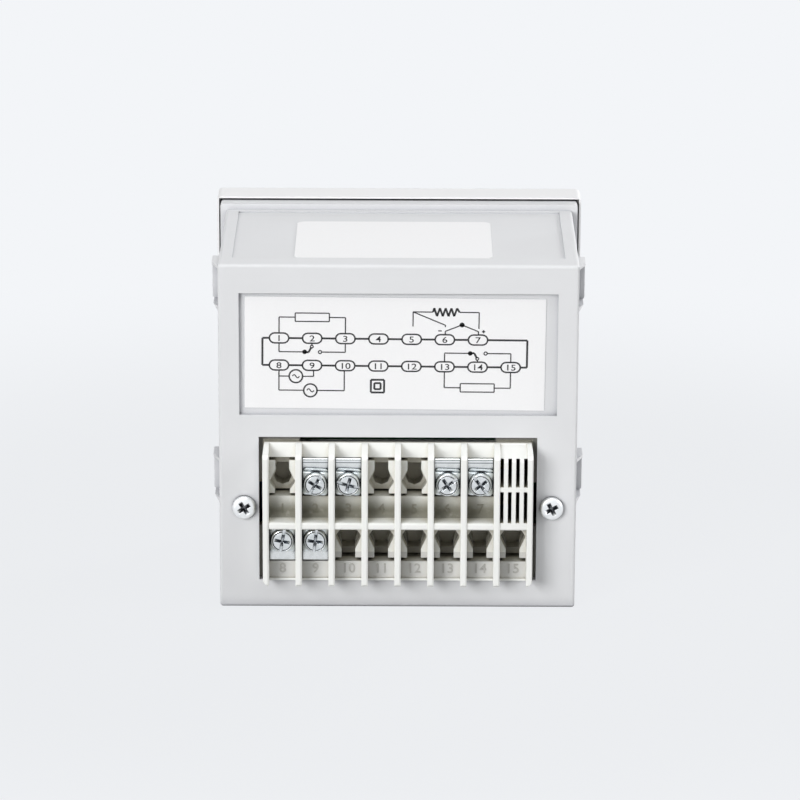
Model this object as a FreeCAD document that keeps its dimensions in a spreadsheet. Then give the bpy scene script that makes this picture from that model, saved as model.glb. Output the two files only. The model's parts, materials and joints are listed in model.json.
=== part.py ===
import FreeCAD, Part
import math
import os
import Sketcher
from FreeCAD import Placement, Rotation, Vector

# Oven thermostat for panel mounting: a 96 mm square bezel with a setting knob at the front,
# a deep case behind the panel, and two rows of screw terminals at the rear.
# +Z is up, the knob faces -Y and the terminals face +Y. Inside each sub-part the local Y is the
# distance behind the case's rear face (negative towards the knob); Placement moves it to the frame.

dimensions = {
    # case and its front flange, which bears on the panel
    "case_width": 91, "case_depth": 61.5, "case_wall": 2.4, "rear_wall": 2.5, "case_round": 0.8,
    "flange_width": 94, "flange_back": 55.6,
    # recess for the wiring label, and the shallow panel on top
    "recess_width": 80.5, "recess_foot": 54, "recess_head": 86, "recess_sink": 1.2,
    "top_panel_width": 84.2, "top_panel_front": 53.5, "top_panel_back": 6.9, "top_panel_sink": 0.4,
    # opening for the terminal block, and the two screws beside it
    "opening_width": 70.8, "opening_foot": 9.9, "opening_head": 48.2,
    "case_screw_x": 39.2, "case_screw_z": 29.6, "case_screw_hole": 3.3,
    # hooks on the sides for the panel clamps
    "ear_reach": 1.6, "ear_front": 10.5, "ear_corner": 4.5, "ear_back": 0.4, "ear_tall": 11.7,
    "ear_upper_z": 81.3, "ear_lower_z": 30.6, "ear_pocket_front": 8.5, "ear_floor": 1.2, "ear_roof": 0.7,
    # ledges inside the case that carry the two boards
    "rail_reach": 2.2, "rail_tall": 1.5, "rail_front": 52, "rail_back": 12,
    # bezel and front plate
    "bezel_width": 96, "bezel_front": 70, "bezel_back": 59.5, "bezel_rim": 0.5, "bezel_round": 1.2,
    "window_width": 83, "plate_width": 87.8, "plate_seat": 88.2, "plate_front": 68.2, "plate_thick": 2,
    "post_spread": 36, "post_wide": 5, "board_thick": 1.6, "front_board_width": 80,
    # setting knob, potentiometer and lamps
    "knob_z": 42, "knob_front": 82, "knob_back": 68.7, "skirt_radius": 19, "skirt_tall": 1.7,
    "grip_radius": 15, "knob_edge": 0.8,
    "nut_room_radius": 7, "nut_room": 71.9,
    "flute_count": 15, "flute_floor": 13.6, "flute_wide": 5,
    "pointer_wide": 1.1, "pointer_near": 5.5, "pointer_far": 12.8, "pointer_sink": 0.6, "rest_turn": -140,
    "pot_wide": 16.5, "bushing_wide": 7, "bushing_hole": 7.2, "bushing_front": 71.2, "pot_bore": 6.1,
    "shaft_wide": 6, "shaft_back": 62, "shaft_front": 79, "nut_flats": 10, "nut_tall": 2,
    "lamp_x": 22, "lamp_z": 80, "lamp_wide": 5, "lamp_hole": 5.3, "lamp_collar": 5.8, "lamp_front": 70.2,
    # terminal block: nine ribs with eight cells between them, in two rows
    "block_width": 68.6, "block_head_width": 67.8, "block_shoulder": 1.8, "block_head": 46.8,
    "block_foot": 10.25, "block_front": 9, "rib_foot": 10.3, "rib_reach": 7, "rib_root": 0.5,
    "rib_corner": 1.4, "rib_wide": 1.6, "rib_bevel": 0.35, "foot_bevel": 0.6,
    "brow_foot": 44.3, "brow_bevel": 0.9, "scoop_level": 0.1, "cell_pitch": 8.4,
    "bar_reach": 6.4, "bar_head": 27.25, "bar_foot": 25.45, "bar_round": 1.5, "seat_level": 0.5,
    "shelf_level": 0.9, "lip_level": 1.4, "lip_tall": 0.6,
    "row_middle": 29.15, "slot_offset": 13.45, "slot_wide": 6.7, "slot_tall": 0.84,
    "groove_offset": 3.92, "groove_tall": 0.6, "groove_sink": 8,
    "neck_wide": 3.5, "neck_offset": 10.7, "hex_wide": 6.3, "hex_head": 7.6, "hex_foot": 7,
    "throat_wide": 3.8, "throat_offset": 5.15, "key_sink": 3.9,
    "well_head": 11.35, "well_neck": 3.4, "well_offset": 7.7, "well_radius": 2.3, "well_sink": 4.6,
    "vent_level": 6.4, "vent_brow": 43.6, "vent_head": 44.4, "vent_cross_head": 37,
    "vent_cross_foot": 35.74, "vent_foot": 27.45, "vent_pitch": 2.01, "vent_wide": 0.92,
    "block_flange_width": 85, "block_flange_foot": 8.4, "block_flange_head": 50, "block_flange_thick": 2.2,
    "window_half": 25, "window_back": 0.9, "window_floor": 44.9,
    "side_window_reach": 36.2, "side_window_foot": 23.8, "side_window_head": 35.5,
    "boss_wide": 6.4, "boss_hole": 3.1,
    # terminal hardware
    "screw_offset": 7.55, "strip_thick": 0.7, "strip_wide": 6.4, "strip_end": 4.5, "strip_front": 14,
    "strip_round": 0.9, "thread_wide": 3, "thread_hole": 3.06,
    "clamp_wide": 6.3, "clamp_thick": 1, "clamp_bevel": 0.6, "clamp_hole": 3.1,
    "head_wide": 5.8, "head_tall": 2.1, "thread_long": 8,
    "case_head_wide": 5.8, "case_head_tall": 1.9, "case_thread_long": 9,
    # boards and what they carry
    "board_width": 85.6, "board_front": 58.4, "board_back": 9.3,
    "core_width": 30, "core_tall": 25, "core_stack": 16, "core_leg": 10, "core_yoke": 5,
    "coil_long": 26, "coil_gap": 0.15, "core_x": -20, "core_y": -38,
    "relay_width": 15.2, "relay_long": 19, "relay_tall": 15.6, "relay_y": -40,
    "relay_output_x": 12, "relay_alarm_x": 30,
    "film_long": 18, "film_wide": 8.5, "film_tall": 14.5, "film_x": 14, "film_y": -22,
    "chip_long": 19.3, "chip_width": 6.4, "chip_tall": 3.4, "chip_x": 10, "chip_y": -36,
    # labels
    "label_width": 76, "label_tall": 29.26, "label_x": 0.85, "label_z": 70.03, "label_turn": -0.41,
    "label_thick": 0.2, "label_round": 1.2,
    "sticker_left": -23.8, "sticker_right": 26.4, "sticker_front": 44.2, "sticker_back": 7.9,
    "sticker_thick": 0.15,
}

# terminal number: (row, cell counted from the camera's left, clamp angle in degrees)
fitted_terminals = {
    2: (1, 1, -4),
    3: (1, 2, -4),
    6: (1, 5, -2.5),
    7: (1, 6, -3),
    8: (-1, 0, 0),
    9: (-1, 1, 0),
}

# flat sides that stand for the round end of a keyhole's well
well_sides = 6

doc = FreeCAD.newDocument("panel_oven_control")
sheet = doc.addObject("Spreadsheet::Sheet", "dims")
for line, (alias, number) in enumerate(dimensions.items(), 1):
    sheet.set(f"A{line}", alias)
    sheet.set(f"B{line}", str(number))
    sheet.setAlias(f"B{line}", alias)
doc.recompute()

rear_face = "(dims.knob_front - dims.rib_reach) / 2"
middle = "dims.bezel_width / 2"
case_half = "dims.case_width / 2"
case_inner = "dims.case_width / 2 - dims.case_wall"
strip_face = "dims.seat_level + dims.strip_thick"
clamp_face = "dims.seat_level + dims.strip_thick + dims.clamp_thick"
power_board_face = "dims.row_middle - dims.slot_offset - dims.strip_thick / 2"
signal_board_face = "dims.row_middle + dims.slot_offset + dims.strip_thick / 2"
rail_levels = {
    "power": f"{power_board_face} - dims.board_thick",
    "signal": signal_board_face,
}


def size(expression):
    return float(sheet.evalExpression(expression))


def new_body(label, place=("0", "0", "0"), turn=0):
    body = doc.addObject("PartDesign::Body", label)
    body.Label = label
    body.Placement = Placement(Vector(), Rotation(Vector(0, 1, 0), turn))
    body.setExpression("Placement.Base.x", place[0])
    body.setExpression("Placement.Base.y", f"{rear_face} + ({place[1]})")
    body.setExpression("Placement.Base.z", place[2])
    return body


def origin_feature(body, role):
    return next(item for item in body.Origin.OriginFeatures if item.Role == role)


def sketch_on(body, name, role, offset):
    sketch = body.newObject("Sketcher::SketchObject", f"{body.Name}_{name}")
    sketch.AttachmentSupport = [(origin_feature(body, role), "")]
    sketch.MapMode = "FlatFace"
    sketch.setExpression("AttachmentOffset.Base.z", offset)
    return sketch


# Upright plane across the object, at the local depth y: its X is X and its Y is Z
def front_sketch(body, name, y):
    return sketch_on(body, name, "XZ_Plane", f"-({y})")


# Upright plane along the object, at x: its X is the depth and its Y is Z
def side_sketch(body, name, x="0"):
    return sketch_on(body, name, "YZ_Plane", x)


# Level plane at z: its X is X and its Y is the depth
def plan_sketch(body, name, z):
    return sketch_on(body, name, "XY_Plane", z)


def place_point(sketch, geometry, vertex, point):
    for kind, expression in zip(("DistanceX", "DistanceY"), point):
        number = sketch.addConstraint(
            Sketcher.Constraint(kind, -1, 1, geometry, vertex, size(expression)))
        sketch.setExpression(f"Constraints[{number}]", expression)


# A closed outline; a corner with a third value is rounded to that radius
def outline(sketch, points):
    count = len(points)
    corners = [Vector(size(point[0]), size(point[1]), 0) for point in points]
    starts = []
    ends = []
    for index, point in enumerate(points):
        reach = 0
        before = (corners[index - 1] - corners[index]).normalize()
        after = (corners[(index + 1) % count] - corners[index]).normalize()
        if len(point) == 3:
            reach = size(point[2]) / math.tan(before.getAngle(after) / 2)
        ends.append(corners[index] + before * reach)
        starts.append(corners[index] + after * reach)
    lines = [sketch.addGeometry(Part.LineSegment(starts[index], ends[(index + 1) % count]), False)
             for index in range(count)]
    for index, point in enumerate(points):
        if len(point) == 3:
            round_corner(sketch, lines[index - 1], lines[index], corners[index], point)
        else:
            sketch.addConstraint(Sketcher.Constraint("Coincident", lines[index - 1], 2, lines[index], 1))
            place_point(sketch, lines[index], 1, point)
    return sketch


def round_corner(sketch, arriving, leaving, corner, point):
    start = sketch.getPoint(arriving, 2)
    end = sketch.getPoint(leaving, 1)
    chord = (start + end) / 2
    radius = size(point[2])
    inward = (chord - corner).normalize()
    half_angle = (start - corner).getAngle(chord - corner)
    crown = corner + inward * (radius / math.sin(half_angle) - radius)
    arc = sketch.addGeometry(Part.Arc(start, crown, end), False)
    first = 1 if sketch.getPoint(arc, 1).distanceToPoint(start) < radius * 1e-3 else 2
    sketch.addConstraint(Sketcher.Constraint("Tangent", arriving, 2, arc, first))
    sketch.addConstraint(Sketcher.Constraint("Tangent", arc, 3 - first, leaving, 1))
    number = sketch.addConstraint(Sketcher.Constraint("Radius", arc, radius))
    sketch.setExpression(f"Constraints[{number}]", point[2])
    mark = sketch.addGeometry(Part.Point(corner), True)
    for line in (arriving, leaving):
        sketch.addConstraint(Sketcher.Constraint("PointOnObject", mark, 1, line))
    place_point(sketch, mark, 1, point)


def circle(sketch, x, y, diameter):
    centre = Vector(size(x), size(y), 0)
    number = sketch.addGeometry(Part.Circle(centre, Vector(0, 0, 1), size(diameter) / 2), False)
    place_point(sketch, number, 3, (x, y))
    wide = sketch.addConstraint(Sketcher.Constraint("Diameter", number, size(diameter)))
    sketch.setExpression(f"Constraints[{wide}]", diameter)
    return sketch


def rectangle(left, right, low, high, *radius):
    return [(left, low, *radius), (right, low, *radius), (right, high, *radius), (left, high, *radius)]


def centred_square(width):
    half = f"{width} / 2"
    return rectangle(f"-{half}", half, f"{middle} - {half}", f"{middle} + {half}")


def extrude(body, kind, sketch, length, flip):
    feature = body.newObject(f"PartDesign::{kind}", f"{sketch.Name}_{kind.lower()}")
    feature.Profile = sketch
    feature.setExpression("Length", length)
    feature.Reversed = flip
    sketch.Visibility = False
    return feature


# On an upright plane across the object a pad grows to the rear or to the front
def grow(body, sketch, length, toward="rear"):
    return extrude(body, "Pad", sketch, length, toward == "rear")


def cut(body, sketch, length, toward="front"):
    return extrude(body, "Pocket", sketch, length, toward == "front")


def grow_up(body, sketch, length):
    return extrude(body, "Pad", sketch, length, False)


def cut_down(body, sketch, length):
    return extrude(body, "Pocket", sketch, length, False)


def cut_up(body, sketch, length):
    return extrude(body, "Pocket", sketch, length, True)


def both_ways(feature):
    feature.SideType = "Symmetric"
    return feature


def revolve(body, sketch):
    feature = body.newObject("PartDesign::Revolution", f"{sketch.Name}_turned")
    feature.Profile = sketch
    feature.ReferenceAxis = (origin_feature(body, "Y_Axis"), [""])
    feature.Angle = 360
    return feature


def repeat_across(body, features, count, pitch):
    pattern = body.newObject("PartDesign::LinearPattern", f"{features[-1].Name}_row")
    pattern.Originals = features
    pattern.Direction = (origin_feature(body, "X_Axis"), [""])
    pattern.Mode = "Spacing"
    pattern.setExpression("Offset", pitch)
    pattern.Occurrences = count
    body.Tip = pattern
    return pattern


def round_edges(body, radius, chosen):
    doc.recompute()
    base = body.Tip
    names = [f"Edge{number}" for number, edge in enumerate(base.Shape.Edges, 1) if chosen(edge)]
    fillet = body.newObject("PartDesign::Fillet", f"{body.Name}_round")
    fillet.Base = (base, names)
    fillet.setExpression("Radius", radius)
    doc.recompute()
    return fillet


def along(axis):
    def chosen(edge):
        box = edge.BoundBox
        spans = {"x": box.XLength, "y": box.YLength, "z": box.ZLength}
        return all(spans[name] < 1e-4 for name in "xyz" if name != axis)
    return chosen


def at(**places):
    levels = {axis: size(place) for axis, place in places.items()}

    def chosen(edge):
        box = edge.BoundBox
        limits = {"x": (box.XMin, box.XMax), "y": (box.YMin, box.YMax), "z": (box.ZMin, box.ZMax)}
        return all(abs(end - level) < 1e-4 for axis, level in levels.items() for end in limits[axis])
    return chosen


def either(*choosers):
    return lambda edge: any(chosen(edge) for chosen in choosers)


def each(*choosers):
    return lambda edge: all(chosen(edge) for chosen in choosers)


def build_case():
    body = new_body("case")
    section = outline(front_sketch(body, "section", "-dims.case_depth"), centred_square("dims.case_width"))
    grow(body, section, "dims.case_depth")
    round_edges(body, "dims.case_round", either(along("y"), at(y="0")))
    flange = front_sketch(body, "flange", "-dims.case_depth")
    outline(flange, centred_square("dims.flange_width"))
    grow(body, flange, "dims.case_depth - dims.flange_back")
    flange_half = "dims.flange_width / 2"
    flange_sides = either(at(x=flange_half), at(x=f"-{flange_half}"))
    round_edges(body, "dims.case_round", each(along("y"), flange_sides))
    hollow = front_sketch(body, "hollow", "-dims.case_depth")
    outline(hollow, centred_square("(dims.case_width - 2 * dims.case_wall)"))
    cut(body, hollow, "dims.case_depth - dims.rear_wall", toward="rear")
    add_board_rails(body)
    add_ears(body)
    opening = front_sketch(body, "terminal_opening", "0")
    outline(opening, rectangle("-dims.opening_width / 2", "dims.opening_width / 2",
                               "dims.opening_foot", "dims.opening_head"))
    cut(body, opening, "2 * dims.rear_wall")
    recess = front_sketch(body, "label_recess", "0")
    outline(recess, rectangle("-dims.recess_width / 2", "dims.recess_width / 2",
                              "dims.recess_foot", "dims.recess_head"))
    cut(body, recess, "dims.recess_sink")
    panel = plan_sketch(body, "top_panel", f"{middle} + {case_half}")
    outline(panel, rectangle("-dims.top_panel_width / 2", "dims.top_panel_width / 2",
                             "-dims.top_panel_front", "-dims.top_panel_back"))
    cut_down(body, panel, "dims.top_panel_sink")
    holes = front_sketch(body, "screw_holes", "0")
    for side in ("-", ""):
        circle(holes, f"{side}dims.case_screw_x", "dims.case_screw_z", "dims.case_screw_hole")
    cut(body, holes, "2 * dims.rear_wall")
    return body


def add_board_rails(body):
    for board, level in rail_levels.items():
        under = f"{level} - dims.rail_tall"
        for side in (-1, 1):
            name = f"{board}_rail_{'left' if side > 0 else 'right'}"
            rail = front_sketch(body, name, "-dims.rail_front")
            outline(rail, rectangle(f"{side} * ({case_inner} - dims.rail_reach)", f"{side} * {case_half}",
                                    under, level))
            grow(body, rail, "dims.rail_front - dims.rail_back")


# Each hook is a block with a floor and a roof wing, open to the rear and to the side
def add_ears(body):
    for level, foot in (("upper", "dims.ear_upper_z"), ("lower", "dims.ear_lower_z")):
        for side in (-1, 1):
            name = f"ear_{level}_{'left' if side > 0 else 'right'}"
            inner = f"{side} * ({case_half} - dims.case_wall / 2)"
            wall = f"{side} * {case_half}"
            outer = f"{side} * ({case_half} + dims.ear_reach)"
            block = plan_sketch(body, name, foot)
            outline(block, [(inner, "-dims.ear_front"), (outer, "-dims.ear_front"),
                            (outer, "-dims.ear_corner"), (wall, "-dims.ear_back"),
                            (inner, "-dims.ear_back")])
            grow_up(body, block, "dims.ear_tall")
            pocket = plan_sketch(body, f"{name}_pocket", f"{foot} + dims.ear_floor")
            past = f"{side} * ({case_half} + 2 * dims.ear_reach)"
            outline(pocket, rectangle(wall, past, "-dims.ear_pocket_front", "dims.ear_back"))
            cut_up(body, pocket, "dims.ear_tall - dims.ear_floor - dims.ear_roof")
            corner = front_sketch(body, f"{name}_corner", "0")
            outline(corner, [(wall, foot), (past, foot), (past, f"{foot} + 2 * dims.ear_reach")])
            cut(body, corner, "dims.ear_front")


def build_bezel():
    body = new_body("bezel")
    frame = outline(front_sketch(body, "frame", "-dims.bezel_back"), centred_square("dims.bezel_width"))
    grow(body, frame, "dims.bezel_front - dims.bezel_back", toward="front")
    round_edges(body, "dims.bezel_round", either(along("y"), at(y="-dims.bezel_front")))
    seat = front_sketch(body, "flange_seat", "-dims.bezel_back")
    outline(seat, centred_square("(dims.bezel_width - 2 * dims.bezel_rim)"))
    cut(body, seat, "dims.case_depth - dims.bezel_back")
    rebate = front_sketch(body, "plate_rebate", "-dims.bezel_back")
    outline(rebate, centred_square("dims.plate_seat"))
    cut(body, rebate, "dims.plate_front - dims.bezel_back")
    window = outline(front_sketch(body, "window", "-dims.bezel_back"), centred_square("dims.window_width"))
    cut(body, window, "dims.bezel_front - dims.bezel_back")
    return body


def build_front_plate():
    body = new_body("front_plate")
    back = "-dims.plate_front + dims.plate_thick"
    plate = outline(front_sketch(body, "plate", back), centred_square("dims.plate_width"))
    grow(body, plate, "dims.plate_thick", toward="front")
    posts = front_sketch(body, "posts", back)
    for across in ("-", ""):
        for upward in ("-", "+"):
            near = "dims.post_spread - dims.post_wide"
            outline(posts, rectangle(f"{across}({near})", f"{across}dims.post_spread",
                                     f"{middle} {upward} ({near})", f"{middle} {upward} dims.post_spread"))
    grow(body, posts, "dims.plate_front - dims.plate_thick - dims.board_front - dims.board_thick")
    holes = front_sketch(body, "holes", back)
    circle(holes, "0", "dims.knob_z", "dims.bushing_hole")
    for side in ("-", ""):
        circle(holes, f"{side}dims.lamp_x", "dims.lamp_z", "dims.lamp_hole")
    cut(body, holes, "dims.plate_thick")
    return body


def build_knob():
    body = new_body("set_knob", ("0", "0", "dims.knob_z"), size("dims.rest_turn"))
    half = [
        ("dims.nut_room_radius", "-dims.knob_back"),
        ("dims.skirt_radius", "-dims.knob_back"),
        ("dims.skirt_radius", "-dims.knob_back - dims.skirt_tall"),
        ("dims.grip_radius", "-dims.knob_back - dims.skirt_tall"),
        ("dims.grip_radius", "-dims.knob_front + dims.knob_edge"),
        ("dims.grip_radius - dims.knob_edge", "-dims.knob_front"),
        ("0", "-dims.knob_front"),
        ("0", "-dims.shaft_front"),
        ("dims.shaft_wide / 2", "-dims.shaft_front"),
        ("dims.shaft_wide / 2", "-dims.nut_room"),
        ("dims.nut_room_radius", "-dims.nut_room"),
    ]
    revolve(body, outline(plan_sketch(body, "half_section", "0"), half))
    flute = outline(front_sketch(body, "flute", "-dims.knob_front"), [
        ("dims.flute_floor", "0"), ("dims.skirt_radius", "-dims.flute_wide"),
        ("dims.skirt_radius", "dims.flute_wide")])
    flute_cut = cut(body, flute, "dims.knob_front - dims.knob_back - dims.skirt_tall", toward="rear")
    flutes = body.newObject("PartDesign::PolarPattern", "flutes")
    flutes.Originals = [flute_cut]
    flutes.Axis = (origin_feature(body, "Y_Axis"), [""])
    flutes.setExpression("Occurrences", "dims.flute_count")
    body.Tip = flutes
    pointer = front_sketch(body, "pointer", "-dims.knob_front")
    outline(pointer, rectangle("-dims.pointer_wide / 2", "dims.pointer_wide / 2",
                               "dims.pointer_near", "dims.pointer_far"))
    cut(body, pointer, "dims.pointer_sink", toward="rear")
    return body


def build_potentiometer():
    place = ("0", "0", "dims.knob_z")
    board_side = "-dims.board_front - dims.board_thick"
    plate_side = "-dims.plate_front + dims.plate_thick"
    body = new_body("pot_body", place)
    half = "dims.pot_wide / 2"
    can = outline(front_sketch(body, "can", board_side), rectangle(f"-{half}", half, f"-{half}", half))
    grow(body, can, f"{board_side} - ({plate_side})", toward="front")
    grow(body, circle(front_sketch(body, "bushing", plate_side), "0", "0", "dims.bushing_wide"),
         f"{plate_side} + dims.bushing_front", toward="front")
    cut(body, circle(front_sketch(body, "bore", "-dims.bushing_front"), "0", "0", "dims.pot_bore"),
        "dims.bushing_front - dims.shaft_back", toward="rear")
    shaft = new_body("pot_shaft", place)
    grow(shaft, circle(front_sketch(shaft, "round", "-dims.shaft_back"), "0", "0", "dims.shaft_wide"),
         "dims.shaft_front - dims.shaft_back", toward="front")
    nut = new_body("pot_nut", place)
    corner = "dims.nut_flats / sqrt(3)"
    flat = "dims.nut_flats / 2"
    hexagon = [(f"-{corner}", "0"), (f"-{corner} / 2", f"-{flat}"), (f"{corner} / 2", f"-{flat}"),
               (corner, "0"), (f"{corner} / 2", flat), (f"-{corner} / 2", flat)]
    ring = outline(front_sketch(nut, "hexagon", "-dims.plate_front"), hexagon)
    circle(ring, "0", "0", "dims.bushing_hole")
    grow(nut, ring, "dims.nut_tall", toward="front")
    return [body, shaft, nut]


def build_lamp(label, x):
    body = new_body(label, (x, "0", "dims.lamp_z"))
    foot = "-dims.board_front - dims.board_thick"
    collar_face = f"{foot} - (dims.lamp_collar - dims.lamp_wide)"
    half = [
        ("0", foot),
        ("dims.lamp_collar / 2", foot),
        ("dims.lamp_collar / 2", collar_face),
        ("dims.lamp_wide / 2", collar_face),
        ("dims.lamp_wide / 2", "-dims.lamp_front"),
        ("0", "-dims.lamp_front"),
    ]
    revolve(body, outline(plan_sketch(body, "half_section", "0"), half))
    return body


# Depth and height around the block's section: number plates, seats, middle bar and the scoops above
block_section = [
    ("-dims.block_front", "dims.block_foot"),
    ("dims.lip_level", "dims.block_foot"),
    ("dims.lip_level", "dims.block_foot + dims.lip_tall"),
    ("dims.shelf_level", "dims.block_foot + dims.lip_tall"),
    ("dims.shelf_level", "dims.row_middle - dims.slot_offset - dims.slot_tall / 2"),
    ("dims.seat_level", "dims.row_middle - dims.slot_offset - dims.slot_tall / 2"),
    ("dims.seat_level", "dims.bar_foot"),
    ("dims.bar_reach - dims.rib_bevel", "dims.bar_foot"),
    ("dims.bar_reach", "dims.bar_foot + dims.rib_bevel"),
    ("dims.bar_reach", "dims.bar_head - dims.rib_bevel"),
    ("dims.bar_reach - dims.rib_bevel", "dims.bar_head"),
    ("dims.shelf_level", "dims.bar_head", "dims.bar_round"),
    ("dims.shelf_level", "dims.row_middle + dims.groove_offset"),
    ("dims.seat_level", "dims.row_middle + dims.groove_offset"),
    ("dims.seat_level", "dims.row_middle + dims.slot_offset + dims.slot_tall"),
    ("dims.scoop_level", "dims.block_head"),
    ("-dims.block_front", "dims.block_head"),
]


def cell_x(cell):
    return f"(3.5 - {cell}) * dims.cell_pitch"


def build_terminal_block():
    body = new_body("terminal_block")
    add_ribs(body)
    section = outline(side_sketch(body, "section"), block_section)
    both_ways(grow(body, section, "dims.block_width"))
    trim_sides(body)
    add_block_flange(body)
    add_vent(body)
    add_key_slots(body, "lower", -1, 8)
    add_key_slots(body, "upper", 1, 7)
    holes = front_sketch(body, "boss_holes", "-dims.rear_wall")
    for side in ("-", ""):
        circle(holes, f"{side}dims.case_screw_x", "dims.case_screw_z", "dims.boss_hole")
    cut(body, holes, "2 * dims.block_front")
    return body


# Nine upright ribs with bevelled rear edges, sloping brows and slanted feet
def add_ribs(body):
    centre = f"{cell_x(7)} - dims.cell_pitch / 2"
    left = f"{centre} - dims.rib_wide / 2"
    right = f"{centre} + dims.rib_wide / 2"
    shoulder = "dims.rib_reach - dims.rib_bevel"
    rib = plan_sketch(body, "rib", "dims.rib_foot")
    outline(rib, [(left, "-dims.rib_root"), (right, "-dims.rib_root"), (right, shoulder),
                  (f"{right} - dims.rib_bevel", "dims.rib_reach"),
                  (f"{left} + dims.rib_bevel", "dims.rib_reach"), (left, shoulder)])
    rib_pad = grow_up(body, rib, "dims.block_head - dims.rib_foot")
    repeat_across(body, [rib_pad], 9, "dims.cell_pitch")
    past = "dims.rib_reach + dims.foot_bevel"
    over = "dims.block_head + dims.brow_bevel"
    brow = outline(side_sketch(body, "rib_brows"), [
        ("dims.rib_reach", "dims.brow_foot"),
        ("dims.rib_reach - dims.brow_bevel", "dims.brow_foot + dims.brow_bevel"),
        ("0", "dims.block_head"), ("0", over), (past, over), (past, "dims.brow_foot")])
    both_ways(extrude(body, "Pocket", brow, "2 * dims.block_width", False))
    slant = outline(side_sketch(body, "rib_feet"), [
        ("dims.rib_reach - dims.foot_bevel", "dims.rib_foot"), (past, "dims.rib_foot"),
        (past, "dims.rib_foot + 2 * dims.foot_bevel")])
    both_ways(extrude(body, "Pocket", slant, "2 * dims.block_width", False))


# Both ends of the block: a slanted shoulder above, and a slanted foot on the outer ribs
def trim_sides(body):
    half = "dims.block_width / 2"
    head = "dims.block_head_width / 2"
    past = "dims.block_width"
    for side in (-1, 1):
        ends = [(f"{half} - dims.rib_corner", "dims.rib_foot - dims.rib_bevel"),
                (half, "dims.rib_foot + dims.rib_corner"),
                (half, "dims.block_head - dims.block_shoulder"), (head, "dims.block_head + dims.rib_bevel"),
                (past, "dims.block_head + dims.rib_bevel"), (past, "dims.rib_foot - dims.rib_bevel")]
        trim = front_sketch(body, f"trim_{'left' if side > 0 else 'right'}", "2 * dims.rib_reach")
        outline(trim, [(f"{side} * ({x})", z) for x, z in ends])
        cut(body, trim, "4 * dims.block_front")


# The flange and the two screw bosses lie behind the case's rear wall
def add_block_flange(body):
    flange = front_sketch(body, "flange", "-dims.rear_wall")
    outline(flange, rectangle("-dims.block_flange_width / 2", "dims.block_flange_width / 2",
                              "dims.block_flange_foot", "dims.block_flange_head"))
    grow(body, flange, "dims.block_flange_thick", toward="front")
    bosses = front_sketch(body, "bosses", "-dims.rear_wall")
    reach = "dims.boss_wide / 2"
    for side in (-1, 1):
        centre = f"{side} * dims.case_screw_x"
        outline(bosses, rectangle(f"{centre} - {reach}", f"{centre} + {reach}",
                                  f"dims.case_screw_z - {reach}", f"dims.case_screw_z + {reach}"))
    grow(body, bosses, "dims.block_front - dims.rear_wall", toward="front")
    cut_flange_windows(body)


# The gap round the block shows the dark inside of the case, except at the corners
def cut_flange_windows(body):
    head = plan_sketch(body, "head_window", "dims.block_flange_head")
    outline(head, rectangle("-dims.window_half", "dims.window_half",
                            "-dims.block_front", "-dims.window_back"))
    cut_down(body, head, "dims.block_flange_head - dims.window_floor")
    sides = front_sketch(body, "side_windows", "-dims.rear_wall")
    for side in (-1, 1):
        ends = sorted((f"{side} * dims.block_width / 2", f"{side} * dims.side_window_reach"), key=size)
        outline(sides, rectangle(*ends, "dims.side_window_foot", "dims.side_window_head"))
    cut(body, sides, "dims.block_flange_thick")


# The last cell of the upper row is a grille of upright slots with a cross bar
def add_vent(body):
    face = side_sketch(body, "vent_face", cell_x(7))
    foot = "dims.bar_foot + dims.rib_bevel"
    outline(face, [("0", foot), ("dims.vent_level", foot),
                   ("dims.vent_level", "dims.vent_brow"),
                   ("dims.vent_level - dims.brow_bevel", "dims.vent_brow + dims.brow_bevel"),
                   ("0", "dims.block_head - dims.rib_bevel")])
    both_ways(grow(body, face, "dims.cell_pitch - dims.rib_wide / 2"))
    slots = front_sketch(body, "vent_slots", "dims.rib_reach")
    for step in range(4):
        centre = f"{cell_x(7)} + ({step} - 1.5) * dims.vent_pitch"
        left = f"{centre} - dims.vent_wide / 2"
        right = f"{centre} + dims.vent_wide / 2"
        outline(slots, rectangle(left, right, "dims.vent_cross_head", "dims.vent_head"))
        outline(slots, rectangle(left, right, "dims.vent_foot", "dims.vent_cross_foot"))
    cut(body, slots, "2 * (dims.block_front + dims.rib_reach)")


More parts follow.
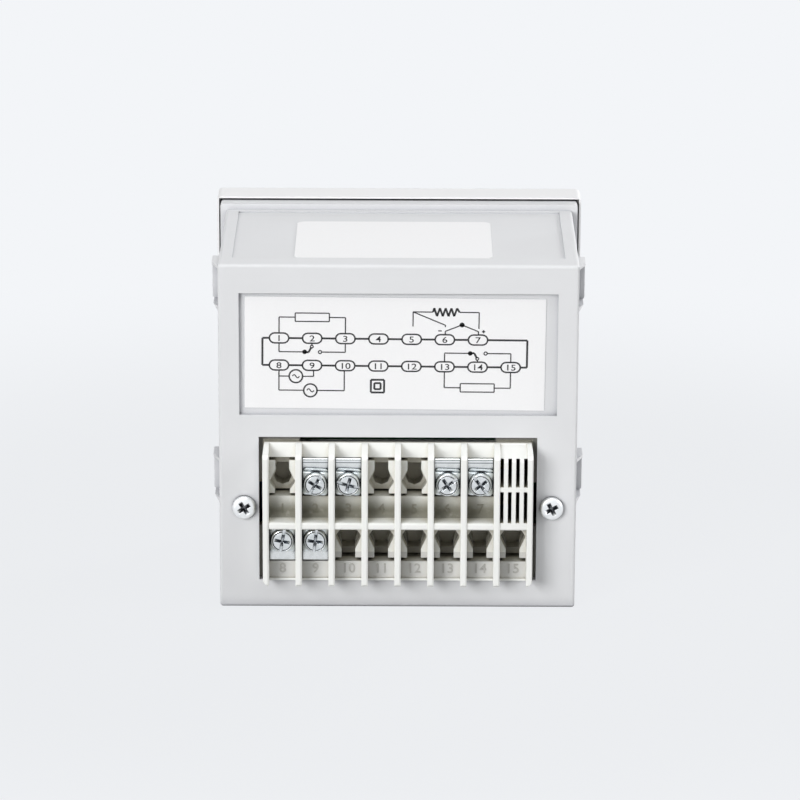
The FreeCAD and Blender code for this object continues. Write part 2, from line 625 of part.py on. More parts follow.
# Every seat has a slot for its metal strip, a keyhole with a well that clears the screw, and a groove
def add_key_slots(body, row, sign, count):
    def level(offset):
        return f"dims.row_middle + {sign} * ({offset})"

    centre = cell_x(count - 1)
    slot = front_sketch(body, f"{row}_slot", "dims.rib_reach")
    outline(slot, rectangle(f"{centre} - dims.slot_wide / 2", f"{centre} + dims.slot_wide / 2",
                            level("dims.slot_offset - dims.slot_tall / 2"),
                            level("dims.slot_offset + dims.slot_tall / 2")))
    slot_cut = cut(body, slot, "2 * (dims.block_front + dims.rib_reach)")
    repeat_across(body, [slot_cut], count, "dims.cell_pitch")
    key = front_sketch(body, f"{row}_key", "dims.seat_level")
    right_side = [("dims.neck_wide / 2", "dims.slot_offset"), ("dims.neck_wide / 2", "dims.neck_offset"),
                  ("dims.hex_wide / 2", "dims.hex_head"), ("dims.hex_wide / 2", "dims.hex_foot"),
                  ("dims.throat_wide / 2", "dims.throat_offset"),
                  ("dims.throat_wide / 2", "dims.groove_offset")]
    points = [(f"{centre} + {x}", level(z)) for x, z in right_side]
    points += [(f"{centre} - {x}", level(z)) for x, z in reversed(right_side)]
    key_cut = cut(body, outline(key, points), "dims.key_sink")
    well = front_sketch(body, f"{row}_well", "dims.seat_level - dims.key_sink")
    opening = "asin(dims.well_neck / (2 * dims.well_radius))"
    points = [(f"{centre} - dims.well_neck / 2", level("dims.well_head")),
              (f"{centre} + dims.well_neck / 2", level("dims.well_head"))]
    for step in range(well_sides + 1):
        turn = f"({opening} + (360 deg - 2 * {opening}) * {step} / {well_sides})"
        points.append((f"{centre} + dims.well_radius * sin({turn})",
                       level(f"dims.well_offset + dims.well_radius * cos({turn})")))
    well_cut = cut(body, outline(well, points), "dims.well_sink")
    groove = front_sketch(body, f"{row}_groove", "dims.shelf_level")
    outline(groove, rectangle(f"{centre} - dims.slot_wide / 2", f"{centre} + dims.slot_wide / 2",
                              level("dims.groove_offset - dims.groove_tall / 2"),
                              level("dims.groove_offset + dims.groove_tall / 2")))
    groove_cut = cut(body, groove, "dims.groove_sink")
    repeat_across(body, [key_cut, well_cut, groove_cut], count, "dims.cell_pitch")


# One terminal: a bent strip soldered to its board, a square clamp and a pan-head screw
def build_terminal(number):
    row, cell, clamp_turn = fitted_terminals[number]
    place = (cell_x(cell), "0", f"dims.row_middle + {row} * dims.screw_offset")
    strip = new_body(f"strip_{number}", place)
    plate_end = f"{-row} * (dims.screw_offset - dims.strip_end)"
    tail_inner = f"{row} * (dims.slot_offset - dims.screw_offset - dims.strip_thick / 2)"
    tail_outer = f"{row} * (dims.slot_offset - dims.screw_offset + dims.strip_thick / 2)"
    bend = outline(side_sketch(strip, "bend"), [
        ("dims.seat_level", plate_end), (strip_face, plate_end),
        (strip_face, tail_outer, "dims.strip_round"),
        ("-dims.strip_front", tail_outer), ("-dims.strip_front", tail_inner),
        ("dims.seat_level", tail_inner)])
    both_ways(grow(strip, bend, "dims.strip_wide"))
    cut(strip, circle(front_sketch(strip, "thread", strip_face), "0", "0", "dims.thread_hole"),
        "2 * dims.strip_thick")
    clamp = new_body(f"clamp_{number}", place, clamp_turn)
    half = "dims.clamp_wide / 2"
    square = front_sketch(clamp, "square", strip_face)
    short = f"({half} - dims.clamp_bevel)"
    outline(square, [(f"-{short}", f"-{half}"), (short, f"-{half}"), (half, f"-{short}"), (half, short),
                     (short, half), (f"-{short}", half), (f"-{half}", short), (f"-{half}", f"-{short}")])
    circle(square, "0", "0", "dims.clamp_hole")
    grow(clamp, square, "dims.clamp_thick")
    screw = build_screw(f"screw_{number}", (place[0], clamp_face, place[2]),
                        "dims.head_wide", "dims.head_tall", "dims.thread_long")
    return [strip, clamp, screw]


# Pan-head screw with a plain shank, its head resting on the level of its own origin
def build_screw(label, place, head_wide, head_tall, thread_long):
    body = new_body(label, place)
    half = [
        ("0", f"-{thread_long}"),
        ("dims.thread_wide / 2", f"-{thread_long}"),
        ("dims.thread_wide / 2", "0"),
        (f"{head_wide} / 2", "0"),
        (f"{head_wide} / 2", head_tall),
        ("0", head_tall),
    ]
    revolve(body, outline(plan_sketch(body, "half_section", "0"), half))
    return body


def build_case_screws():
    screws = []
    for side in ("-", ""):
        name = f"case_screw_{'left' if side else 'right'}"
        screws.append(build_screw(name, (f"{side}dims.case_screw_x", "0", "dims.case_screw_z"),
                                  "dims.case_head_wide", "dims.case_head_tall", "dims.case_thread_long"))
    pair = doc.addObject("Part::Compound", "case_screws")
    pair.Links = screws
    return pair


def build_boards():
    front = new_body("front_board")
    face = front_sketch(front, "face", "-dims.board_front")
    outline(face, centred_square("dims.front_board_width"))
    grow(front, face, "dims.board_thick", toward="front")
    boards = [front]
    for board, level in rail_levels.items():
        body = new_body(f"{board}_board")
        sheet_outline = plan_sketch(body, "outline", level)
        outline(sheet_outline, rectangle("-dims.board_width / 2", "dims.board_width / 2",
                                         "-dims.board_front", "-dims.board_back"))
        grow_up(body, sheet_outline, "dims.board_thick")
        boards.append(body)
    return boards


def build_transformer():
    place = ("dims.core_x", "dims.core_y", power_board_face)
    core = new_body("transformer_core", place)
    half = "dims.core_width / 2"
    laminations = front_sketch(core, "laminations", "dims.core_stack / 2")
    outline(laminations, rectangle(f"-{half}", half, "0", "dims.core_tall"))
    for side in (-1, 1):
        outline(laminations, rectangle(f"{side} * dims.core_leg / 2", f"{side} * ({half} - dims.core_yoke)",
                                       "dims.core_yoke", "dims.core_tall - dims.core_yoke"))
    grow(core, laminations, "dims.core_stack", toward="front")
    coil = new_body("transformer_coil", place)
    winding = plan_sketch(coil, "winding", "dims.core_yoke + dims.coil_gap")
    outer = f"{half} - dims.core_yoke - dims.coil_gap"
    inner = "dims.core_leg / 2 + dims.coil_gap"
    deep = "dims.coil_long / 2"
    hole = "dims.core_stack / 2 + dims.coil_gap"
    outline(winding, rectangle(f"-({outer})", outer, f"-{deep}", deep))
    outline(winding, rectangle(f"-({inner})", inner, f"-({hole})", hole))
    grow_up(coil, winding, "dims.core_tall - 2 * dims.core_yoke - 2 * dims.coil_gap")
    return [core, coil]


def build_relay(label, x):
    body = new_body(label, (x, "dims.relay_y", power_board_face))
    foot = outline(plan_sketch(body, "foot", "0"), rectangle(
        "-dims.relay_width / 2", "dims.relay_width / 2", "-dims.relay_long / 2", "dims.relay_long / 2"))
    grow_up(body, foot, "dims.relay_tall")
    return body


def build_capacitor():
    body = new_body("filter_capacitor", ("dims.film_x", "dims.film_y", power_board_face))
    foot = outline(plan_sketch(body, "foot", "0"), rectangle(
        "-dims.film_long / 2", "dims.film_long / 2", "-dims.film_wide / 2", "dims.film_wide / 2"))
    grow_up(body, foot, "dims.film_tall")
    return body


def build_chip():
    board_face = f"{signal_board_face} + dims.board_thick"
    body = new_body("control_chip", ("dims.chip_x", "dims.chip_y", board_face))
    foot = outline(plan_sketch(body, "foot", "0"), rectangle(
        "-dims.chip_long / 2", "dims.chip_long / 2", "-dims.chip_width / 2", "dims.chip_width / 2"))
    grow_up(body, foot, "dims.chip_tall")
    return body


def build_labels():
    wiring = new_body("wiring_label", ("dims.label_x", "0", "dims.label_z"), size("dims.label_turn"))
    across = "dims.label_width / 2"
    upward = "dims.label_tall / 2"
    paper = front_sketch(wiring, "paper", "-dims.recess_sink")
    outline(paper, rectangle(f"-{across}", across, f"-{upward}", upward, "dims.label_round"))
    grow(wiring, paper, "dims.label_thick")
    sticker = new_body("top_label")
    blank = plan_sketch(sticker, "blank", f"{middle} + {case_half} - dims.top_panel_sink")
    outline(blank, rectangle("dims.sticker_left", "dims.sticker_right",
                             "-dims.sticker_front", "-dims.sticker_back", "dims.label_round"))
    grow_up(sticker, blank, "dims.sticker_thick")
    return [wiring, sticker]


parts = [build_case(), build_bezel(), build_front_plate(), build_knob()]
parts += build_potentiometer()
parts += [build_lamp("lamp_green", "dims.lamp_x"), build_lamp("lamp_red", "-dims.lamp_x")]
parts.append(build_terminal_block())
for terminal in fitted_terminals:
    parts += build_terminal(terminal)
parts.append(build_case_screws())
parts += build_boards()
parts += build_transformer()
parts.append(build_relay("relay_output", "dims.relay_output_x"))
parts.append(build_relay("relay_alarm", "dims.relay_alarm_x"))
parts += [build_capacitor(), build_chip()]
parts += build_labels()
doc.recompute()

failed = [item.Name for item in doc.Objects if "Invalid" in item.State or "Error" in item.State]
failed += [item.Label for item in parts if item.Shape.isNull() or not item.Shape.isValid()]
if failed:
    raise RuntimeError(f"not built: {failed}")
os.makedirs("parts", exist_ok=True)
for item in parts:
    item.Shape.exportStep(f"parts/{item.Label}.step")
    print(item.Label, len(item.Shape.Solids), round(item.Shape.Volume, 1))
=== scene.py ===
import json
import math
import bmesh
import bpy
from mathutils import Matrix, Vector


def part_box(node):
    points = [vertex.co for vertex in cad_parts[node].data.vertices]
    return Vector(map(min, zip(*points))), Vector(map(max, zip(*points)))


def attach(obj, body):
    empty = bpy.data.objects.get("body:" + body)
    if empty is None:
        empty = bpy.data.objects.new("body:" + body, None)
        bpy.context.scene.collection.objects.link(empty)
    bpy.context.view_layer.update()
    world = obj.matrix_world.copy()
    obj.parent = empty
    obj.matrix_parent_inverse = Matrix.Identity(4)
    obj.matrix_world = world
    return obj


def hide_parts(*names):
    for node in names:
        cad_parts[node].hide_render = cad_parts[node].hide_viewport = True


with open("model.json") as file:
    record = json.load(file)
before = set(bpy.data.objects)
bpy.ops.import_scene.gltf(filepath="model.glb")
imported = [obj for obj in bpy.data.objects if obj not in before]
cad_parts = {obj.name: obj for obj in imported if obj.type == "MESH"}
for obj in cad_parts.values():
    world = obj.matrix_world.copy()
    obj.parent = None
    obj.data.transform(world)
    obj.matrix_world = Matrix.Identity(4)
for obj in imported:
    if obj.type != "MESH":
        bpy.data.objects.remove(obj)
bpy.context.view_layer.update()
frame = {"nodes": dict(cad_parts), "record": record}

print("frame:", len(frame["nodes"]), "nodes")
scene = bpy.context.scene
mm = 0.001
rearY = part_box("case")[1].y  # the case's rear face


def spot(across, behind, up):  # mm: to the right seen from the rear, behind the rear face, up
    return Vector((-across * mm, rearY + behind * mm, up * mm))


def tone(red, green, blue):  # screen values to a linear colour
    def linear(value):
        value = value / 255
        return value / 12.92 if value < 0.04045 else ((value + 0.055) / 1.055) ** 2.4
    return (linear(red), linear(green), linear(blue), 1.0)


# shader maths

class Sock:
    def __init__(self, shade, socket):
        self.shade = shade
        self.socket = socket

    def maths(self, operation, first, second):
        return self.shade.add("Math", {"operation": operation}, {0: first, 1: second})

    def __add__(self, other):
        return self.maths("ADD", self, other)

    def __radd__(self, other):
        return self.maths("ADD", other, self)

    def __sub__(self, other):
        return self.maths("SUBTRACT", self, other)

    def __rsub__(self, other):
        return self.maths("SUBTRACT", other, self)

    def __mul__(self, other):
        return self.maths("MULTIPLY", self, other)

    def __rmul__(self, other):
        return self.maths("MULTIPLY", other, self)

    def __truediv__(self, other):
        return self.maths("DIVIDE", self, other)

    def __rtruediv__(self, other):
        return self.maths("DIVIDE", other, self)

    def __gt__(self, other):
        return self.maths("GREATER_THAN", self, other)

    def __lt__(self, other):
        return self.maths("LESS_THAN", self, other)

    def ramp(self, low, high, first=0.0, last=1.0):
        return self.shade.add("MapRange", {"interpolation_type": "SMOOTHSTEP"},
                              {"Value": self, "From Min": low, "From Max": high,
                               "To Min": first, "To Max": last})


class Nodes:  # a tree's nodes, added by type with their settings and sockets
    family = "ShaderNode"

    def add(self, kind, settings=None, sockets=None, out=0):
        family = "ShaderNode" if kind in ("Math", "CombineXYZ") else self.family
        node = self.tree.nodes.new(family + kind)
        for name, value in (settings or {}).items():
            setattr(node, name, value)
        for name, value in (sockets or {}).items():
            for single in value if isinstance(value, list) else [value]:
                self.feed(node.inputs[name], single)
        return Sock(self, node.outputs[out])

    def feed(self, socket, value):
        if isinstance(value, Sock):
            self.tree.links.new(value.socket, socket)
        else:
            socket.default_value = value


class Shade(Nodes):
    def __init__(self, name):
        self.material = bpy.data.materials.new(name)
        self.material.use_nodes = True
        self.tree = self.material.node_tree
        self.bsdf = self.tree.nodes["Principled BSDF"]
        self.output = self.tree.nodes["Material Output"]
        self.coords = self.add("TexCoord", out="Object")

    def surface(self, values):
        for name, value in values.items():
            self.feed(self.bsdf.inputs[name], value)
        return self.material

    def noise(self, size, detail=2.0, vector=None):  # size in mm
        return self.add("TexNoise", {}, {"Vector": vector or self.coords, "Scale": 1 / (size * mm),
                                         "Detail": detail})

    def waves(self, direction, scale, distortion):
        return self.add("TexWave", {"bands_direction": direction},
                        {"Vector": self.coords, "Scale": scale, "Distortion": distortion})

    def stretched(self, scale):
        return self.add("Mapping", {}, {"Vector": self.coords, "Scale": scale})

    def mixColour(self, factor, first, second):
        return self.add("Mix", {"data_type": "RGBA"}, {0: factor, 6: first, 7: second}, out=2)

    def bump(self, height, depth, strength=1.0, normal=None):  # depth in mm
        sockets = {"Height": height, "Distance": depth * mm, "Strength": strength}
        if normal:
            sockets["Normal"] = normal
        return self.add("Bump", {}, sockets)

    def grime(self, base, look):  # painted shade: darker where ambient occlusion finds deep corners
        reach = {"Distance": look["reach"] * mm}
        openness = self.add("AmbientOcclusion", {"samples": 8}, reach, out="AO")
        return self.mixColour(openness.ramp(look["closed"], look["open"]), look["colour"], base)

    def place(self, axis):
        return self.add("SeparateXYZ", {}, {0: self.coords}, out=axis)

    def settled(self, base, look):  # painted shade between two heights, darkest at the foot and deep in, broken up by noise
        behind, level = self.place("Y") - rearY, self.place("Z")
        within = (level > look["low"] * mm) * (level < look["high"] * mm)
        deep = behind.ramp(look["near"] * mm, look["far"] * mm, 1, 0)
        thick = level.ramp(look["knee"] * mm, look["high"] * mm, look["heavy"], look["light"])
        patchy = self.noise(look["patch"], 3.0).ramp(0.2, 0.5, 0.8, 1)
        return self.mixColour(within * deep * thick * patchy, base, look["colour"])

    def beyond(self, base, look):  # shade on what lies outside a width and a height
        across = self.place("X")
        aside = across.maths("ABSOLUTE", across, 0.0) > look["wide"] * mm
        outside = aside.maths("MAXIMUM", aside, self.place("Z") > look["head"] * mm)
        return self.mixColour(outside, base, look["colour"])

    def sunk(self, base, look):  # painted shade on walls between a mouth depth and a floor depth, below a height
        behind = self.place("Y") - rearY
        inside = (behind < look["mouth"] * mm) * (behind > look["floor"] * mm)
        below = self.place("Z") < look["head"] * mm
        return self.mixColour(inside * below * look["share"], base, look["colour"])

    def creased(self, base, look):  # painted reflections: dark lines across a bent strip, below its upper edge
        level = self.place("Z")
        for below in look["below"]:
            low = look["head"] - below - look["wide"] / 2
            line = (level > low * mm) * (level < (low + look["wide"]) * mm)
            base = self.mixColour(line, base, look["colour"])
        return base

    def softEdge(self, radius):  # mm
        return self.add("Bevel", {"samples": 4}, {"Radius": radius * mm})


def shaded(colour, factor):
    return (colour[0] * factor, colour[1] * factor, colour[2] * factor, 1.0)


# what all moulded plastics have where their own values don't say otherwise, sizes in mm
plasticLook = {"cloud": 22, "wear": 6, "scuff": 0.1, "grainScuff": 0.12, "relief": 0.6, "specular": 0.4,
               "edge": 0.15}


def mouldedPlastic(name, look):
    look = {**plasticLook, **look}
    shade = Shade(name)
    colour = look["colour"]
    grain = shade.noise(look["grain"], 3.0)
    cloud = shade.noise(look["cloud"], 3.0)
    darker, paler = shaded(colour, 1 - look["drift"]), shaded(colour, 1 + look["drift"])
    base = shade.mixColour(cloud.ramp(0.3, 0.7), darker, paler)
    # painted shade: darker towards the bottom
    if "foot" in look:
        foot = look["foot"]
        height = shade.place("Z").ramp(foot["low"] * mm, foot["high"] * mm)
        base = shade.mixColour(height, shaded(colour, foot["share"]), base)
    if "speck" in look:
        apart = look["speck"]
        cells = shade.add("TexVoronoi", {"feature": "F1"},
                          {"Vector": shade.coords, "Scale": 1 / (apart * mm)})
        chosen = shade.noise(apart * 1.7, 1.0).ramp(0.56, 0.6)  # only some of the cells have a speck
        speck = (cells < look["speckSize"]) * chosen * look["speckDark"]
        base = shade.mixColour(speck, base, shaded(colour, look["speckShade"]))
    # painted shade: darker in corners, recesses and slits, on the shelf, on the walls of wells and beyond the
    # block's face
    for hollow in ("corner", "recess", "slit"):
        if hollow in look:
            base = shade.grime(base, look[hollow])
    if "dust" in look:
        base = shade.settled(base, look["dust"])
    for hollow in ("well", "sill", "plate"):
        if hollow in look:
            base = shade.sunk(base, look[hollow])
    if "flange" in look:
        base = shade.beyond(base, look["flange"])
    wear = shade.noise(look["wear"], 4.0)
    return shade.surface({
        "Base Color": base,
        "Roughness": look["rough"] + (grain - 0.5) * look["grainScuff"] + (wear - 0.5) * look["scuff"],
        "Specular IOR Level": look["specular"],
        "Normal": shade.bump(grain, look["depth"], look["relief"], shade.softEdge(look["edge"])),
    })


# the same for plated metals
metalLook = {"stretch": (1, 1, 1), "stainSize": 2.2, "stainScuff": 0.06, "grainScuff": 0.18, "relief": 0.5,
             "edge": 0.08}


def platedMetal(name, look):
    look = {**metalLook, **look}
    shade = Shade(name)
    brush = shade.noise(look["grain"], 3.0, shade.stretched(look["stretch"]))
    stain = shade.noise(look["stainSize"], 4.0)
    base = shade.mixColour(stain.ramp(0.35, 0.75), look["colour"], look["stain"])
    if "crease" in look:
        base = shade.creased(base, look["crease"])
    return shade.surface({
        # the recess colour is painted shade in the metal's hollows
        "Base Color": shade.grime(base, look["recess"]),
        "Metallic": 1.0,
        "Roughness": look["rough"] + (brush - 0.5) * look["grainScuff"] + stain * look["stainScuff"],
        "Normal": shade.bump(brush, look["depth"], look["relief"], shade.softEdge(look["edge"])),
    })


# painted shade: the slit colour darkens narrow gaps such as between bezel and case, the corner colour the
# case's corners, and the foot share the case towards the bottom
caseSlit = {"reach": 1.6, "closed": 0.1, "open": 0.45, "colour": tone(70, 70, 74)}
caseLook = {"colour": tone(230, 231, 233), "grain": 0.28, "depth": 0.012, "drift": 0.012, "rough": 0.66,
            "specular": 0.2, "edge": 0.2,
            "speck": 9, "speckSize": 0.016, "speckDark": 0.7, "speckShade": 0.25,
            "foot": {"low": 8, "high": 46, "share": 0.94},
            "corner": {"reach": 5, "closed": 0.35, "open": 0.9, "colour": tone(192, 193, 197)},
            "slit": caseSlit}
bezelLook = {"colour": tone(246, 246, 247), "grain": 0.3, "depth": 0.008, "drift": 0.008, "rough": 0.6,
             "specular": 0.25, "edge": 0.2, "slit": caseSlit}
# painted shade: every colour after the first darkens the block in recesses, corners and slits, on the shelf
# above the middle bar, on the walls of the wells and the sill, on the number plates, and on the flange beyond
# its face
blockLook = {"colour": tone(249, 250, 247), "grain": 0.22, "depth": 0.006, "drift": 0.012, "rough": 0.5,
             "edge": 0.18, "specular": 0.22,
             "recess": {"reach": 9, "closed": 0.05, "open": 0.5, "colour": tone(196, 192, 178)},
             "corner": {"reach": 4, "closed": 0.3, "open": 0.7, "colour": tone(214, 210, 197)},
             "slit": {"reach": 1.3, "closed": 0.12, "open": 0.5, "colour": tone(52, 50, 44)},
             "dust": {"low": 27.3, "knee": 28.6, "high": 33.2, "near": 1.0, "far": 5.0, "patch": 1.5,
                      "heavy": 0.92, "light": 0.2, "colour": tone(120, 118, 104)},
             "well": {"mouth": -3.55, "floor": -7.8, "head": 47, "share": 0.25, "colour": tone(74, 71, 62)},
             "sill": {"mouth": -3.2, "floor": -3.6, "head": 25.6, "share": 0.75, "colour": tone(84, 81, 71)},
             "plate": {"mouth": 1.1, "floor": 0.3, "head": 17.7, "share": 0.6, "colour": tone(200, 199, 197)},
             "flange": {"wide": 34.4, "head": 46.9, "colour": tone(136, 135, 130)}}
plateLook = {"colour": tone(38, 39, 42), "grain": 0.2, "depth": 0.012, "drift": 0.05, "rough": 0.5}
knobLook = {"colour": tone(30, 30, 32), "grain": 0.16, "depth": 0.01, "drift": 0.06, "rough": 0.42,
            "edge": 0.25}
relayLook = {"colour": tone(40, 76, 140), "grain": 0.3, "depth": 0.006, "drift": 0.05, "rough": 0.28}
filmLook = {"colour": tone(206, 178, 92), "grain": 0.4, "depth": 0.006, "drift": 0.08, "rough": 0.24}
chipLook = {"colour": tone(36, 36, 37), "grain": 0.15, "depth": 0.01, "drift": 0.06, "rough": 0.55}
# painted shade in the hollows of screws, strips and clamps
metalRecess = {"reach": 1.4, "closed": 0.25, "open": 0.8, "colour": tone(88, 93, 100)}
clampRecess = {"reach": 0.8, "closed": 0.25, "open": 0.75, "colour": tone(70, 76, 84)}
nickelLook = {"colour": (0.80, 0.82, 0.83, 1), "stain": (0.66, 0.70, 0.71, 1), "grain": 0.14, "depth": 0.006,
              "rough": 0.16, "recess": metalRecess}
zincLook = {"colour": (0.74, 0.78, 0.79, 1), "stain": (0.6, 0.65, 0.67, 1), "grain": 0.12, "depth": 0.006,
            "rough": 0.22, "stretch": (1, 1, 0.2), "recess": clampRecess}
# the strip's two dark crease lines are painted reflections of its bend
stripLook = {"colour": (0.8, 0.82, 0.82, 1), "stain": (0.7, 0.72, 0.72, 1), "grain": 0.12, "depth": 0.005,
             "rough": 0.2, "stretch": (1, 1, 0.15), "recess": metalRecess,
             "crease": {"head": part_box("strip_2")[1].z / mm, "below": (0.45, 1.15), "wide": 0.2,
                        "colour": tone(126, 134, 138)}}


def tintedLens(name, colour):
    shade = Shade(name)
    haze = shade.noise(1.2, 3.0)
    return shade.surface({
        "Base Color": shade.mixColour(haze.ramp(0.3, 0.8), shaded(colour, 0.75), colour),
        "Roughness": 0.08 + haze * 0.1,
        "Coat Weight": 0.4,
        "Normal": shade.bump(haze, 0.01, 0.3),
    })


def circuitBoard(name):
    shade = Shade(name)
    weave = shade.waves("X", 900.0, 1.5)
    cloud = shade.noise(5, 3.0)
    return shade.surface({
        "Base Color": shade.mixColour(cloud.ramp(0.3, 0.7), tone(30, 92, 52), tone(44, 116, 66)),
        "Roughness": 0.32 + weave * 0.1,
        "Normal": shade.bump(weave, 0.01, 0.4),
    })


def stackedIron(name):
    shade = Shade(name)
    layers = shade.waves("Y", 640.0, 0.4)
    rust = shade.noise(3, 4.0)
    return shade.surface({
        "Base Color": shade.mixColour(rust.ramp(0.45, 0.75), tone(92, 92, 95), tone(104, 84, 70)),
        "Metallic": 0.8,
        "Roughness": 0.45 + layers * 0.2,
        "Normal": shade.bump(layers, 0.06, 0.8),
    })


def windingTape(name):
    shade = Shade(name)
    folds = shade.waves("Z", 110.0, 2.0)
    cloud = shade.noise(4, 3.0)
    return shade.surface({
        "Base Color": shade.mixColour(cloud.ramp(0.3, 0.7), tone(226, 186, 74), tone(206, 158, 52)),
        "Roughness": 0.3 + folds * 0.15,
        "Normal": shade.bump(folds, 0.05, 0.5),
    })


def labelPaper(name, colour):
    shade = Shade(name)
    fibre = shade.noise(0.5, 4.0)
    ripple = shade.noise(9, 2.0)
    return shade.surface({
        "Base Color": shade.mixColour(fibre.ramp(0.3, 0.7), shaded(colour, 0.985), colour),
        "Roughness": 0.58 + (fibre - 0.5) * 0.1,
        "Specular IOR Level": 0.2,
        "Normal": shade.bump(ripple, 0.06, 0.5),
    })


def printedInk(name, colour):
    shade = Shade(name)
    patch = shade.noise(0.35, 3.0)
    return shade.surface({
        "Base Color": shade.mixColour(patch.ramp(0.35, 0.8), colour, shaded(colour, 2.2)),
        "Roughness": 0.5 + (patch - 0.5) * 0.2,
    })


finishes = {
    "case_grey": mouldedPlastic("moulded case", caseLook),
    "bezel_white": mouldedPlastic("moulded bezel", bezelLook),
    "block_ivory": mouldedPlastic("moulded block", blockLook),
    "plate_dark": mouldedPlastic("front plate", plateLook),
    "knob_black": mouldedPlastic("knob", knobLook),
    "nickel": platedMetal("nickel plate", nickelLook),
    "zinc": platedMetal("zinc plate", zincLook),
    "strip_metal": platedMetal("strip plate", stripLook),
    "lamp_green": tintedLens("green lens", tone(40, 150, 66)),
    "lamp_red": tintedLens("red lens", tone(190, 40, 32)),
    "board_green": circuitBoard("circuit board"),
    "core_iron": stackedIron("stacked iron"),
    "coil_wrap": windingTape("winding tape"),
    "relay_shell": mouldedPlastic("relay shell", relayLook),
    "film_box": mouldedPlastic("film capacitor", filmLook),
    "chip_black": mouldedPlastic("chip package", chipLook),
    "label_white": labelPaper("label paper", tone(252, 252, 253)),
}
for part in frame["record"]["subparts"]:
    nodeObject = frame["nodes"][part["node"]]
    for materialSlot in nodeObject.material_slots:
        materialSlot.material = finishes[part["material_slot"]]
blackInk = printedInk("black ink", tone(34, 34, 36))
whiteInk = printedInk("white ink", tone(214, 214, 212))
print("finishes:", len(finishes))


# pieces

def addPiece(name, mesh, body, material):
    mesh.materials.clear()
    mesh.materials.append(material)
    piece = bpy.data.objects.new(name, mesh)
    scene.collection.objects.link(piece)
    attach(piece, body)
    return piece


rearFacing = Matrix(((-1, 0, 0, 0), (0, 0, 1, 0), (0, 1, 0, 0), (0, 0, 0, 1)))  # drawn in x and y, facing +Y
frontFacing = Matrix(((1, 0, 0, 0), (0, 0, -1, 0), (0, 1, 0, 0), (0, 0, 0, 1)))  # the same, facing -Y
digitShare = 0.73  # a digit's height as a share of its font size


def evaluatedMesh(holder):  # a plain mesh of what an object shows
    bpy.context.view_layer.update()
    return bpy.data.meshes.new_from_object(holder.evaluated_get(bpy.context.evaluated_depsgraph_get()))


def textMesh(words, height, thick=0.0, bold=0.0):  # mm, centred on its own origin
    curve = bpy.data.curves.new("words", "FONT")
    curve.body = words
    curve.size = height / digitShare
    curve.align_x = "CENTER"
    curve.extrude = thick / 2
    curve.offset = bold
    curve.resolution_u = 4
    holder = bpy.data.objects.new("words", curve)
    scene.collection.objects.link(holder)
    mesh = evaluatedMesh(holder)
    bpy.data.objects.remove(holder)
    bpy.data.curves.remove(curve)
    mesh.transform(Matrix.Translation((0, -height / 2, thick / 2)))
    return mesh


def plainMesh(shape):
    mesh = bpy.data.meshes.new("shape")
    shape.to_mesh(mesh)
    shape.free()
    return mesh


def roundedFace(shape, half, head, foot, radius, level=0.0, steps=6):  # a flat face with round corners
    corners = []
    for quarter, (x, y) in enumerate(((1, 1), (-1, 1), (-1, -1), (1, -1))):
        reach = (head if y > 0 else foot) - radius
        for step in range(steps + 1):
            turn = math.pi / 2 * (quarter + step / steps)
            corners.append(shape.verts.new((x * (half - radius) + radius * math.cos(turn),
                                            y * reach + radius * math.sin(turn), level)))
    shape.faces.new(corners)


def thickened(shape):  # a second side and walls for a flat sheet, in the same order each run
    rim = [edge for edge in shape.edges if edge.is_boundary]
    above = {vert: shape.verts.new(vert.co) for vert in shape.verts[:]}
    for face in shape.faces[:]:
        shape.faces.new([above[vert] for vert in face.verts])
    for edge in rim:
        first, second = edge.verts
        shape.faces.new((first, second, above[second], above[first]))
    return list(above.values())  # the second side's vertices


def joinMeshes(name, placed):  # pairs of a mesh and its matrix
    joined = bmesh.new()
    for mesh, matrix in placed:
        part = mesh.copy()
        part.transform(matrix)
        joined.from_mesh(part)
        bpy.data.meshes.remove(part)
    result = bpy.data.meshes.new(name)
    joined.to_mesh(result)
    joined.free()
    return result


# geometry trees: named inputs, maths as in the shaders
class Tree(Nodes):
    family = "GeometryNode"

    def __init__(self, name, inputs):
        self.tree = bpy.data.node_groups.new(name, "GeometryNodeTree")
        face = self.tree.interface
        face.new_socket("Geometry", in_out="OUTPUT", socket_type="NodeSocketGeometry")
        self.keys = {}
        for label, kind in {"Geometry": "Geometry", **inputs, "Finish": "Material"}.items():
            entry = face.new_socket(label, in_out="INPUT", socket_type="NodeSocket" + kind)
            self.keys[label] = entry.identifier
        self.entry = self.tree.nodes.new("NodeGroupInput")

    def __getitem__(self, label):
        return Sock(self, self.entry.outputs[label])

    def vector(self, x, y, z):
        return self.add("CombineXYZ", {}, {"X": x, "Y": y, "Z": z})

    def moved(self, geometry, **change):
        return self.add("Transform", {}, {"Geometry": geometry, **change})

    def close(self, geometry):
        single = self.add("RealizeInstances", {}, {"Geometry": geometry})
        finished = self.add("SetMaterial", {}, {"Geometry": single, "Material": self["Finish"]})
        self.feed(self.tree.nodes.new("NodeGroupOutput").inputs["Geometry"], finished)
        return self

    def run(self, data, values, bevel=0.0):  # a plain mesh of the tree's result on a mesh or a curve
        holder = bpy.data.objects.new("holder", data)
        scene.collection.objects.link(holder)
        modifier = holder.modifiers.new("tree", "NODES")
        modifier.node_group = self.tree
        for label, value in values.items():
            modifier[self.keys[label]] = value
        if bevel:
            soften = holder.modifiers.new("bevel", "BEVEL")
            soften.width = bevel
            soften.segments = 2
            soften.angle_limit = math.radians(38)
        mesh = evaluatedMesh(holder)
        bpy.data.objects.remove(holder)
        return mesh


